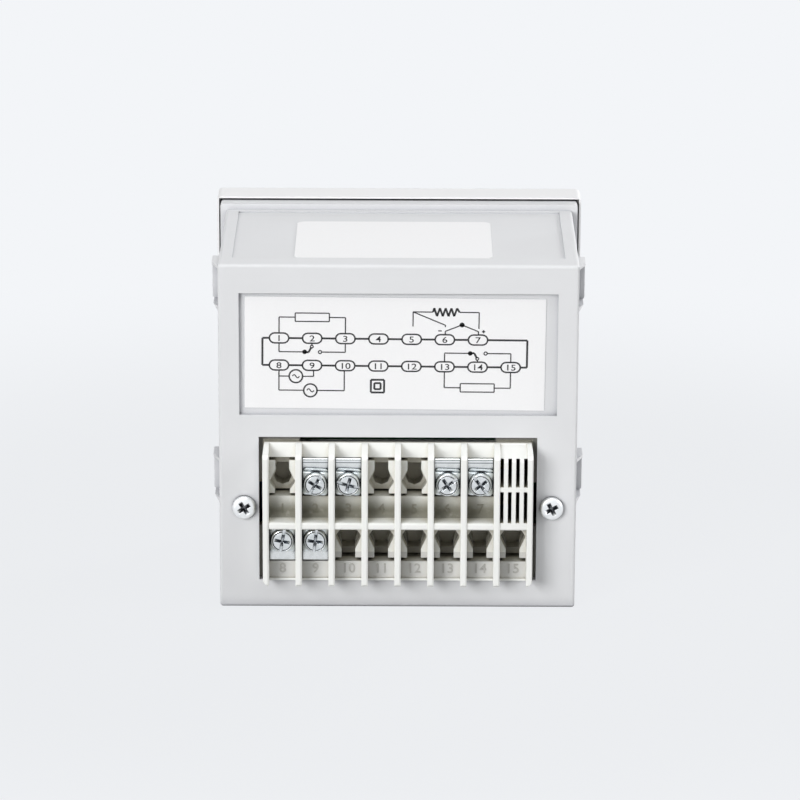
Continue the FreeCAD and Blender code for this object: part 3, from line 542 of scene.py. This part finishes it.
def inkStrokes():  # a drawing's lines as flat strokes
    tree = Tree("ink strokes", {"Stroke": "Float", "Film": "Float"})
    nib = tree.add("CurvePrimitiveQuadrilateral", {}, {"Width": tree["Stroke"], "Height": tree["Film"]})
    return tree.close(tree.add("CurveToMesh", {}, {"Curve": tree["Geometry"], "Profile Curve": nib,
                                                   "Fill Caps": True}))


inkTree = inkStrokes()


def drawLines(lines, stroke, ink, film=0.02):  # lines: (points in mm, closed)
    curve = bpy.data.curves.new("lines", "CURVE")
    curve.dimensions = "3D"
    for points, closed in lines:
        spline = curve.splines.new("POLY")
        spline.points.add(len(points) - 1)
        for point, (across, up) in zip(spline.points, points):
            point.co = (across, up, 0, 1)
        spline.use_cyclic_u = closed
    return inkTree.run(curve, {"Stroke": stroke, "Film": film, "Finish": ink})


def ring(across, up, radius, steps=24):
    turns = [2 * math.pi * step / steps for step in range(steps)]
    return [(across + radius * math.cos(turn), up + radius * math.sin(turn)) for turn in turns], True


def oval(across, up, width, height, steps=8):
    radius = height / 2
    points = []
    for side, centre in ((1, across + width / 2 - radius), (-1, across - width / 2 + radius)):
        for step in range(steps + 1):
            turn = math.pi * (step / steps - 0.5)
            points.append((centre + side * radius * math.cos(turn), up + side * radius * math.sin(turn)))
    return points, True


def straight(*points):  # an open line, one stroke for each run so that corners stay square
    return [([start, end], False) for start, end in zip(points, points[1:])]


def disc(across, up, radius):
    return [ring(across, up, radius * share) for share in (0.25, 0.6, 0.9)]


# wiring label: numbered terminals and their circuit, in mm from the label's middle
labelPrint = {"pitch": 8.37, "firstColumn": -29.3, "upperRow": 3.85, "lowerRow": -3.28,
              "ovalWide": 4.9, "ovalTall": 2.62, "leftLoop": 4.2, "rightLoop": 4.1,
              "bold": 0.5, "line": 0.3, "rim": 0.4, "digit": 1.62, "digitWide": 1.28, "digitBold": 0.02,
              "load": {"away": 5.5, "half": 4.3, "tall": 1.1}, "contactAway": 3.6,
              "sensorUp": 7.2, "zigzag": {"start": 5.6, "step": 0.72, "tall": 1.05, "end": 12.0},
              "source": {"radius": 1.7, "near": 2.9, "far": 6.6},
              "insulation": {"drop": 5.3, "halves": (1.68, 0.8)},
              "middle": (-0.85, 70.03), "face": -0.985, "turn": -0.41}


def wiringLabel(look):
    top, low = look["upperRow"], look["lowerRow"]
    wide, tall = look["ovalWide"], look["ovalTall"]

    def column(number):  # terminal's place along its row
        return look["firstColumn"] + look["pitch"] * ((number - 1) if number < 8 else (number - 8))

    bold, rims, thin, digits = [], [], [], []
    widened = Matrix.Diagonal((look["digitWide"], 1, 1, 1))
    for number in range(1, 16):
        up = top if number < 8 else low
        rims.append(oval(column(number), up, wide, tall))
        digits.append((textMesh(str(number), look["digit"], bold=look["digitBold"]),
                       Matrix.Translation((column(number), up, 0)) @ widened))
        if number not in (7, 15):
            bold += straight((column(number) + wide / 2, up), (column(number + 1) - wide / 2, up))
    left, right = column(1) - look["leftLoop"], column(15) + look["rightLoop"]
    bold += straight((column(1) - wide / 2, top), (left, top), (left, low), (column(8) - wide / 2, low))
    bold += straight((column(7) + wide / 2, top), (right, top), (right, low), (column(15) + wide / 2, low))
    # two outputs: a load on the outer side of three terminals, a changeover contact on the inner side
    rise, half = tall / 2, look["load"]["half"]
    for first, row, way in ((1, top, 1), (13, low, -1)):
        one, two, three = column(first), column(first + 1), column(first + 2)
        load = row + way * look["load"]["away"]
        thin += straight((one, row + way * rise), (one, load), (two - half, load))
        thin += straight((three, row + way * rise), (three, load), (two + half, load))
        foot, head = load - look["load"]["tall"], load + look["load"]["tall"]
        thin += straight((two - half, foot), (two - half, head), (two + half, head), (two + half, foot),
                         (two - half, foot))
        near = row - way * look["contactAway"]
        thin += straight((one, row - way * rise), (one, near), (two - 2.1, near))
        thin += straight((three, row - way * rise), (three, near), (two + 2.4, near))
        thin += straight((two, row - way * rise), (two - 0.1, row - way * 1.8))
        bold += straight((two - 1.8, near), (two - 0.9, near - way * 0.1), (two - 0.2, row - way * 2.3))
        thin += disc(two - 1.9, near, 0.5)
        thin += [ring(two + 2.0, near, 0.4), ring(two - 0.1, row - way * 2.2, 0.36)]
    # sensor and its resistor above terminals 5 to 7
    five, six, seven = column(5), column(6), column(7)
    high = top + look["sensorUp"]
    thin += straight((five + 0.3, top + 3.4), (five + 0.3, high), (five + 5.3, high))
    thin += straight((five + 0.3, high), (six + 0.1, top + 3.8), (six + 0.1, top + 3.3))
    bends = look["zigzag"]
    zigzag = [(five + 5.3, high)]
    for step in range(9):
        swing = bends["tall"] if step % 2 == 0 else -bends["tall"]
        zigzag.append((five + bends["start"] + step * bends["step"], high + swing))
    zigzag.append((five + bends["end"], high))
    bold += straight(*zigzag)
    thin += straight(zigzag[-1], (seven + 0.2, high), (seven + 0.2, top + 2.9))
    thin += straight((six + 0.1, top + rise), (six + 0.1, top + 2.2), (six + 4.3, top + 3.9),
                     (seven + 0.1, top + 2.2), (seven + 0.1, top + rise))
    thin += disc(six + 4.3, top + 3.9, 0.55)
    thin += straight((seven + 1.0, top + 2.2), (seven + 1.8, top + 2.2))
    thin += straight((seven + 1.4, top + 1.8), (seven + 1.4, top + 2.6))
    thin += straight((six - 1.7, top + 2.3), (six - 0.8, top + 2.3))
    # supply below terminals 8 to 10
    eight, nine, ten = column(8), column(9), column(10)
    radius, near, far = (look["source"][name] for name in ("radius", "near", "far"))
    for centre, drop, end in (((eight + nine) / 2 + 0.1, near, nine + 0.4), (nine - 0.4, far, ten - 0.2)):
        up = low - drop
        thin += straight((eight, low - rise), (eight, up), (centre - radius, up))
        thin += straight((centre + radius, up), (end, up), (end, low - rise))
        rims.append(ring(centre, up, radius))
        wave = [(centre - 0.9 + 0.2 * step, up + 0.42 * math.sin(step * math.pi / 4.5)) for step in range(10)]
        thin.append((wave, False))
    # double insulation
    middle, level = column(11) - 0.15, low - look["insulation"]["drop"]
    for half in look["insulation"]["halves"]:
        corners = [(middle + x * half, level + y * half) for x, y in ((-1, -1), (1, -1), (1, 1), (-1, 1))]
        bold += straight(*corners, corners[0])
    slant = Matrix.Rotation(math.radians(look["turn"]), 4, "Z")
    drawn = [(drawLines(lines, look[stroke], blackInk), slant)
             for lines, stroke in ((bold, "bold"), (rims, "rim"), (thin, "line"))]
    drawn += [(mesh, slant @ matrix) for mesh, matrix in digits]
    mesh = joinMeshes("label_print", drawn)
    across, up = look["middle"]
    mesh.transform(Matrix.Translation(spot(across, look["face"], up)) @ rearFacing @ Matrix.Scale(mm, 4))
    return addPiece("label_print", mesh, "housing", blackInk)


wiringLabel(labelPrint)
print("wiring label drawn")

# paper of the two labels, in mm: size, corner and turn
paperLook = {"wiring_label": {"name": "wiring_paper", "wide": 76, "tall": 29.26, "round": 0.15,
                              "turn": labelPrint["turn"], "facing": rearFacing},
             "top_label": {"name": "top_paper", "wide": 50.2, "tall": 36.3, "round": 2.2,
                           "turn": 0, "facing": Matrix.Identity(4)}}


def paperSheet(node, look):
    low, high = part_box(node)
    thick = min(high - low) / mm
    shape = bmesh.new()
    half = look["tall"] / 2
    roundedFace(shape, look["wide"] / 2, half, half, look["round"], -thick / 2)
    bmesh.ops.translate(shape, verts=thickened(shape), vec=(0, 0, thick))
    bmesh.ops.recalc_face_normals(shape, faces=shape.faces)
    mesh = plainMesh(shape)
    mesh.transform(Matrix.Translation((low + high) / 2) @ look["facing"]
                   @ Matrix.Rotation(math.radians(look["turn"]), 4, "Z") @ Matrix.Scale(mm, 4))
    piece = addPiece(look["name"], mesh, "housing", finishes["label_white"])
    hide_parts(node)


for node, look in paperLook.items():
    paperSheet(node, look)
print("labels stuck on")

# moulded terminal numbers on the block
# the digits are the block's plastic, painted darker to stand for their shading
numberLook = {"pitch": 8.4, "upperLevel": 29.55, "lowerLevel": 13.5, "face": 0.88, "height": 2.6,
              "thick": 0.2, "colour": tone(190, 189, 182)}


def terminalNumbers(look):
    placed = []
    for number in range(1, 16):
        column, up = (number - 1, look["upperLevel"]) if number < 8 else (number - 8, look["lowerLevel"])
        where = spot((column - 3.5) * look["pitch"], look["face"], up)
        placed.append((textMesh(str(number), look["height"], look["thick"]),
                       Matrix.Translation(where) @ rearFacing @ Matrix.Scale(mm, 4)))
    mesh = joinMeshes("terminal_numbers", placed)
    relief = mouldedPlastic("moulded numbers", {**blockLook, "colour": look["colour"]})
    return addPiece("terminal_numbers", mesh, "housing", relief)


terminalNumbers(numberLook)
print("terminal numbers set")


def turned(profile, steps):  # (radius, height) pairs from one end of the axis to the other, axis along z
    shape = bmesh.new()
    rings = []
    for radius, height in profile:
        turns = [2 * math.pi * step / steps for step in range(steps)] if radius else [0]
        rings.append([shape.verts.new((radius * math.cos(turn), radius * math.sin(turn), height))
                      for turn in turns])
    for low, high in zip(rings, rings[1:]):
        for step in range(steps):
            after = (step + 1) % steps
            corners = [low[step % len(low)], low[after % len(low)],
                       high[after % len(high)], high[step % len(high)]]
            shape.faces.new(list(dict.fromkeys(corners)))
    bmesh.ops.recalc_face_normals(shape, faces=shape.faces)
    return plainMesh(shape)


def smoothed(mesh, angle=35):
    mesh.polygons.foreach_set("use_smooth", [True] * len(mesh.polygons))
    mesh.set_sharp_from_angle(angle=math.radians(angle))
    return mesh


# pan-head screws: a turned blank, its drive cut by a tree
screwLook = {"head": 3.02, "tall": 2.08, "side": 1.4, "crown": 0.16, "steps": 48,
             "shank": 1.48, "shankLong": 8.0, "root": 1.24, "pitch": 0.5, "runOut": 0.3,
             "ring": 2.46, "ringWide": 0.17, "ringDeep": 0.28,
             "slotWide": 0.8, "slotDeep": 0.6, "bevel": 0.05,
             "crossWide": 0.9, "crossLong": 4.3, "crossDeep": 1.5,
             "turns": {2: -30, 3: 75, 6: -55, 7: 38, 8: -10, 9: -7}}  # terminal's number: degrees
# a slot above the head cuts nothing, so these have only a cross
caseScrewLook = {**screwLook, "tall": 1.88, "side": 0.9, "crown": 0.14, "shankLong": 9.0, "ringDeep": 0.0,
                 "slotDeep": -0.2, "crossLong": 3.7, "crossWide": 1.1,
                 "turns": {-39.2: 33, 39.2: 28}}  # place across in mm: degrees
# the bright screws' recess colour is painted shade, strong in the drive and around the head
brightLook = {**nickelLook, "colour": (0.94, 0.95, 0.95, 1), "stain": (0.87, 0.89, 0.9, 1), "rough": 0.3,
              "recess": {"reach": 1.5, "closed": 0.55, "open": 0.93, "colour": tone(76, 78, 82)}}


def driveRecess():
    tree = Tree("drive recess", {"Head": "Float", "Slot Width": "Float", "Slot Depth": "Float",
                                 "Cross Width": "Float", "Cross Length": "Float", "Cross Depth": "Float"})
    head = tree["Head"]
    barLong, barTall = 9.0, 1.0  # past the head's sides and top
    bar = tree.add("MeshCube", {}, {"Size": tree.vector(tree["Slot Width"], barLong, barTall)})
    slot = tree.moved(bar, Translation=tree.vector(0.0, 0.0, head - tree["Slot Depth"] + barTall / 2))
    # a tapered square of side 1, scaled to one wing of the cross
    square = tree.add("MeshCone", {}, {"Vertices": 4, "Radius Top": math.sqrt(0.5), "Radius Bottom": 0.3,
                                       "Depth": 1.0})
    squared = tree.moved(square, Rotation=(0, 0, math.pi / 4))
    depth = tree["Cross Depth"]
    wing = tree.moved(squared, Scale=tree.vector(tree["Cross Length"], tree["Cross Width"], depth),
                      Translation=tree.vector(0.0, 0.0, head - depth + 0.02))
    across = tree.moved(wing, Rotation=(0, 0, math.pi / 2))
    return tree.close(tree.add("MeshBoolean", {"operation": "DIFFERENCE", "solver": "EXACT"},
                               {0: tree["Geometry"], 1: [slot, wing, across]}))


recessTree = driveRecess()


def panScrew(look, finish):
    shankLong, runOut = look["shankLong"], look["runOut"]
    profile = [(0, -shankLong), (look["root"] * 0.8, -shankLong)]
    turns = int(shankLong / look["pitch"]) - 1
    for turn in range(turns):
        foot = -shankLong + runOut + turn * look["pitch"]
        profile += [(look["shank"], foot), (look["root"], foot + look["pitch"] / 2)]
    profile += [(look["shank"], -runOut), (look["shank"], 0), (look["head"], 0), (look["head"], look["side"])]
    rise = look["tall"] - look["crown"] - look["side"]
    for step in range(1, 6):
        turn = step / 5 * math.pi / 2
        profile.append((look["head"] - rise * (1 - math.cos(turn)), look["side"] + rise * math.sin(turn)))
    wide = look["head"] - rise

    def crown(reach, sink=0.0):
        return reach, look["tall"] - look["crown"] * (reach / wide) ** 2 - sink

    if look["ringDeep"]:
        outer, inner = look["ring"] + look["ringWide"], look["ring"] - look["ringWide"]
        profile += [crown(outer), crown(look["ring"], look["ringDeep"]), crown(inner)]
    profile += [crown(wide * share) for share in (0.66, 0.33, 0)]
    return recessTree.run(turned(profile, look["steps"]), {
        "Head": look["tall"], "Slot Width": look["slotWide"], "Slot Depth": look["slotDeep"],
        "Cross Width": look["crossWide"], "Cross Length": look["crossLong"], "Cross Depth": look["crossDeep"],
        "Finish": finish}, look["bevel"])


def turnedTo(place, turn):  # a piece drawn in mm, facing the rear
    slant = Matrix.Rotation(math.radians(turn), 4, "Z")
    return Matrix.Translation(place) @ rearFacing @ slant @ Matrix.Scale(mm, 4)


def seatOf(node):  # middle of a screw's or clamp's box, at its inner end
    low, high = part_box(node)
    return Vector(((low.x + high.x) / 2, low.y, (low.z + high.z) / 2))


def terminalScrews(look):
    finish = finishes["nickel"]
    blank = panScrew(look, finish)
    underHead = Vector((0, look["shankLong"] * mm, 0))
    for number, turn in look["turns"].items():
        mesh = blank.copy()
        mesh.transform(turnedTo(seatOf(f"screw_{number}") + underHead, turn))
        piece = addPiece(f"terminal_screw_{number}", smoothed(mesh), f"screw_{number}", finish)
        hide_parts(f"screw_{number}")


def caseScrews(look):
    finish = platedMetal("bright nickel", brightLook)
    blank = panScrew(look, finish)
    low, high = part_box("case_screws")
    level = (low.z + high.z) / 2 / mm
    placed = [(blank, turnedTo(spot(across, 0, level), turn)) for across, turn in look["turns"].items()]
    mesh = smoothed(joinMeshes("case_screw_pair", placed))
    piece = addPiece("case_screw_pair", mesh, "housing", finish)
    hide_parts("case_screws")


terminalScrews(screwLook)
caseScrews(caseScrewLook)
print("screws cut")

# square clamps with round corners and a bent upper edge
clampLook = {"wide": 6.5, "head": 3.7, "thick": 1.0, "round": 0.9, "bendAt": 2.95, "drop": 0.3, "bevel": 0.1,
             "creaseWide": 0.8, "creaseDeep": 0.55,
             "turns": {2: -3, 3: -3, 6: -2.5, 7: -3, 8: 0, 9: 0}}


edgeTree = Tree("plain plate", {})
edgeTree.close(edgeTree["Geometry"])


def clampPlate(look, finish):
    half, head, bend = look["wide"] / 2, look["head"], look["bendAt"]
    shape = bmesh.new()
    roundedFace(shape, half, head, half, look["round"])
    crease = look["creaseWide"] / 2
    for level in (bend - crease, bend, bend + crease):
        bmesh.ops.bisect_plane(shape, geom=shape.verts[:] + shape.edges[:] + shape.faces[:],
                               plane_co=(0, level, 0), plane_no=(0, 1, 0))
    for vert in thickened(shape):
        past = max(0, (vert.co.y - bend) / (head - bend))
        groove = max(0, 1 - abs(vert.co.y - bend) / crease) * look["creaseDeep"]
        vert.co.z = look["thick"] - look["drop"] * past - groove
    bmesh.ops.recalc_face_normals(shape, faces=shape.faces)
    return edgeTree.run(plainMesh(shape), {"Finish": finish}, look["bevel"])


def clampPlates(look):
    finish = finishes["zinc"]
    blank = clampPlate(look, finish)
    for number, turn in look["turns"].items():
        mesh = blank.copy()
        mesh.transform(turnedTo(seatOf(f"clamp_{number}"), turn))
        piece = addPiece(f"wire_clamp_{number}", smoothed(mesh), f"clamp_{number}", finish)
        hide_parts(f"clamp_{number}")


clampPlates(clampLook)
print("clamps set")

# dial on the front plate, pointer on the knob, lenses on the lamps
dialLook = {"middle": 42.0, "sweep": 280.0, "near": 20.4, "minor": 1.6, "major": 1.3,
            "wide": 0.35, "film": 0.05,
            "numbers": range(0, 301, 50), "parts": 5, "numberRadius": 27.0, "height": 3.0,
            "pointerNear": 5.6, "pointerFar": 12.7, "pointerWide": 1.0, "pointerThick": 0.5}
lampLook = {"lens": 2.48, "collar": 2.88, "dome": 1.3, "behind": 4.1, "steps": 32, "rows": 6}


def dialTicks():
    sizes = ("Sweep", "Near", "Long", "Wide", "Film")
    tree = Tree("dial ticks", {"Count": "Int", **{label: "Float" for label in sizes}})
    step = tree["Sweep"] / (tree["Count"] - 1)
    turn = tree.add("InputIndex") * step - tree["Sweep"] / 2
    reach = tree["Near"] + tree["Long"] / 2
    sine = turn.maths("SINE", turn, 0.0)
    cosine = turn.maths("COSINE", turn, 0.0)
    position = tree.vector(sine * reach, cosine * reach, 0.0)
    points = tree.add("Points", {}, {"Count": tree["Count"], "Position": position})
    bar = tree.add("MeshCube", {}, {"Size": tree.vector(tree["Wide"], tree["Long"], tree["Film"])})
    return tree.close(tree.add("InstanceOnPoints", {}, {"Points": points, "Instance": bar,
                                                        "Rotation": tree.vector(0.0, 0.0, 0.0 - turn)}))


def dial(look):
    tree = dialTicks()
    marks = []
    count = len(look["numbers"])
    for ticks, near, long in ((look["parts"] * (count - 1) + 1, look["near"], look["minor"]),
                              (count, look["near"] + look["minor"], look["major"])):
        marks.append((tree.run(bpy.data.meshes.new("ticks"), {
            "Count": ticks, "Sweep": math.radians(look["sweep"]), "Near": near, "Long": long,
            "Wide": look["wide"], "Film": look["film"], "Finish": whiteInk}), Matrix()))
    for place, number in enumerate(look["numbers"]):
        turn = math.radians(look["sweep"] * (place / (count - 1) - 0.5))
        where = (look["numberRadius"] * math.sin(turn), look["numberRadius"] * math.cos(turn), 0)
        marks.append((textMesh(str(number), look["height"], look["film"]), Matrix.Translation(where)))
    mesh = joinMeshes("dial_print", marks)
    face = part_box("front_plate")[0].y - look["film"] / 2 * mm
    mesh.transform(Matrix.Translation((0, face, look["middle"] * mm)) @ frontFacing @ Matrix.Scale(mm, 4))
    return addPiece("dial_print", mesh, "housing", whiteInk)


def pointer(look):  # inlay in the knob's groove, at rest at the dial's first number
    line = straight((0, look["pointerNear"]), (0, look["pointerFar"]))
    mesh = drawLines(line, look["pointerWide"], whiteInk, look["pointerThick"])
    turn = Matrix.Rotation(math.radians(look["sweep"] / 2), 4, "Z")
    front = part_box("set_knob")[0].y + look["pointerThick"] / 2 * mm
    place = Matrix.Translation((0, front, look["middle"] * mm))
    mesh.transform(place @ frontFacing @ turn @ Matrix.Scale(mm, 4))
    return addPiece("pointer_inlay", mesh, "knob", whiteInk)


def lampLens(node, look):
    low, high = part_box(node)
    long = (high.y - low.y) / mm
    profile = [(0, -long), (look["collar"], -long),
               (look["collar"], -look["behind"]), (look["lens"], -look["behind"])]
    rows = look["rows"]
    for row in range(rows + 1):
        turn = row / rows * math.pi / 2
        reach = look["lens"] * math.cos(turn) if row < rows else 0
        profile.append((reach, look["dome"] * (math.sin(turn) - 1)))
    mesh = turned(profile, look["steps"])
    middle = Vector(((low.x + high.x) / 2, low.y, (low.z + high.z) / 2))
    mesh.transform(Matrix.Translation(middle) @ frontFacing @ Matrix.Scale(mm, 4))
    piece = addPiece(node + "_lens", smoothed(mesh), "housing", finishes[node])
    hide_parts(node)


dial(dialLook)
pointer(dialLook)
for lamp in ("lamp_green", "lamp_red"):
    lampLens(lamp, lampLook)
print("front dressed")


# studio
cameraLook = {"elevation": 16.94, "yaw": 0.03, "roll": 0.21, "distance": 1101.9, "aim": (0.47, 0, 58.13),
              "lens": 195.78, "sensor": 36, "farthest": 50}


def studioCamera(look):
    rise, yaw, roll = (math.radians(look[name]) for name in ("elevation", "yaw", "roll"))
    back = Vector((-math.sin(yaw) * math.cos(rise), math.cos(yaw) * math.cos(rise), math.sin(rise)))
    right = Vector((-math.cos(yaw), -math.sin(yaw), 0))
    up = back.cross(right)
    level = math.cos(roll) * right + math.sin(roll) * up
    upright = math.cos(roll) * up - math.sin(roll) * right
    camera = bpy.data.objects.new("camera", bpy.data.cameras.new("camera"))
    camera.data.lens = look["lens"]
    camera.data.sensor_width = look["sensor"]
    camera.data.clip_end = look["farthest"]
    place = spot(*look["aim"]) + back * look["distance"] * mm
    camera.matrix_world = Matrix((level, upright, back)).transposed().to_4x4()
    camera.matrix_world.translation = place
    scene.collection.objects.link(camera)
    scene.camera = camera


# lamps, in metres and watts, all turned to one point in the case
softboxAim = (0, 0.02, 0.04)
softboxes = {"key light": {"place": (0.93, 1.42, 0.6), "size": (0.85, 0.85), "power": 20.8},
             "top light": {"place": (0.05, 0.06, 0.52), "size": (0.5, 0.3), "power": 0.8},
             "fill light": {"place": (-1.0, 0.35, 0.5), "size": (0.6, 0.6), "power": 4.2},
             "front light": {"place": (-1.0, -1.0, 0.32), "size": (0.5, 0.5), "power": 12.0}}


def softbox(name, look):
    light = bpy.data.lights.new(name, "AREA")
    light.shape = "RECTANGLE"
    light.size, light.size_y = look["size"]
    light.energy = look["power"]
    lamp = bpy.data.objects.new(name, light)
    lamp.location = look["place"]
    aim = Vector(softboxAim) - Vector(look["place"])
    lamp.rotation_euler = aim.to_track_quat("-Z", "Y").to_euler()
    scene.collection.objects.link(lamp)


for name, look in softboxes.items():
    softbox(name, look)

# floor: through two points, in mm behind the rear face and up, and paler from near to far, in metres
studioLook = {"backdrop": tone(243, 245, 248), "ambient": 0.19, "floor": 0.42, "half": 3.0,
              "rest": (-59.5, 0.0), "heel": (0.0, 2.5), "near": 0.13, "far": 0.34, "pale": 0.88}
rayKinds = ("Is Camera Ray", "Is Glossy Ray", "Is Transmission Ray")  # these see the backdrop's colour


def studioFloor(look):
    slope = (look["heel"][1] - look["rest"][1]) / (look["heel"][0] - look["rest"][0])
    half = look["half"]
    mesh = bpy.data.meshes.new("floor")
    through = spot(0, *look["rest"])
    square = ((-half, -half), (half, -half), (half, half), (-half, half))
    corners = [(x, y, through.z + slope * (y - through.y)) for x, y in square]
    mesh.from_pydata(corners, [], [(0, 1, 2, 3)])
    shade = Shade("studio floor")
    apart = shade.add("VectorMath", {"operation": "LENGTH"}, {0: shade.coords}, out="Value")
    white, grain = (1, 1, 1), shade.noise(0.6, 2.0)
    base = shade.mixColour(grain, shaded(white, look["floor"]), shaded(white, look["floor"] * 1.01))
    shade.surface({"Base Color": base, "Roughness": 0.7, "Specular IOR Level": 0.1})
    glow = shade.add("Emission", {}, {"Color": look["backdrop"], "Strength": 1.0})
    ray = shade.tree.nodes.new("ShaderNodeLightPath")
    seen = Sock(shade, ray.outputs[rayKinds[0]])
    for kind in rayKinds[1:]:
        seen = seen.maths("MAXIMUM", seen, Sock(shade, ray.outputs[kind]))
    factor = apart.ramp(look["near"], look["far"], look["pale"]) * seen
    mixed = shade.add("MixShader", {}, {0: factor, 1: Sock(shade, shade.bsdf.outputs[0]), 2: glow})
    shade.feed(shade.output.inputs["Surface"], mixed)
    floor = bpy.data.objects.new("floor", mesh)
    mesh.materials.append(shade.material)
    scene.collection.objects.link(floor)


def studioWorld(look):
    world = bpy.data.worlds.new("studio")
    scene.world = world
    world.use_nodes = True
    tree = world.node_tree
    ambient = tree.nodes["Background"]
    ambient.inputs["Color"].default_value = (1, 1, 1, 1)
    ambient.inputs["Strength"].default_value = look["ambient"]
    backdrop = tree.nodes.new("ShaderNodeBackground")
    backdrop.inputs["Color"].default_value = look["backdrop"]
    ray = tree.nodes.new("ShaderNodeLightPath")
    seen = ray.outputs[rayKinds[0]]
    for kind in rayKinds[1:]:
        either = tree.nodes.new("ShaderNodeMath")
        either.operation = "MAXIMUM"
        tree.links.new(seen, either.inputs[0])
        tree.links.new(ray.outputs[kind], either.inputs[1])
        seen = either.outputs[0]
    mix = tree.nodes.new("ShaderNodeMixShader")
    for place, socket in enumerate((seen, ambient.outputs[0], backdrop.outputs[0])):
        tree.links.new(socket, mix.inputs[place])
    tree.links.new(mix.outputs[0], tree.nodes["World Output"].inputs["Surface"])


studioCamera(cameraLook)
studioFloor(studioLook)
studioWorld(studioLook)
scene.view_settings.view_transform = "Standard"
print("studio set")
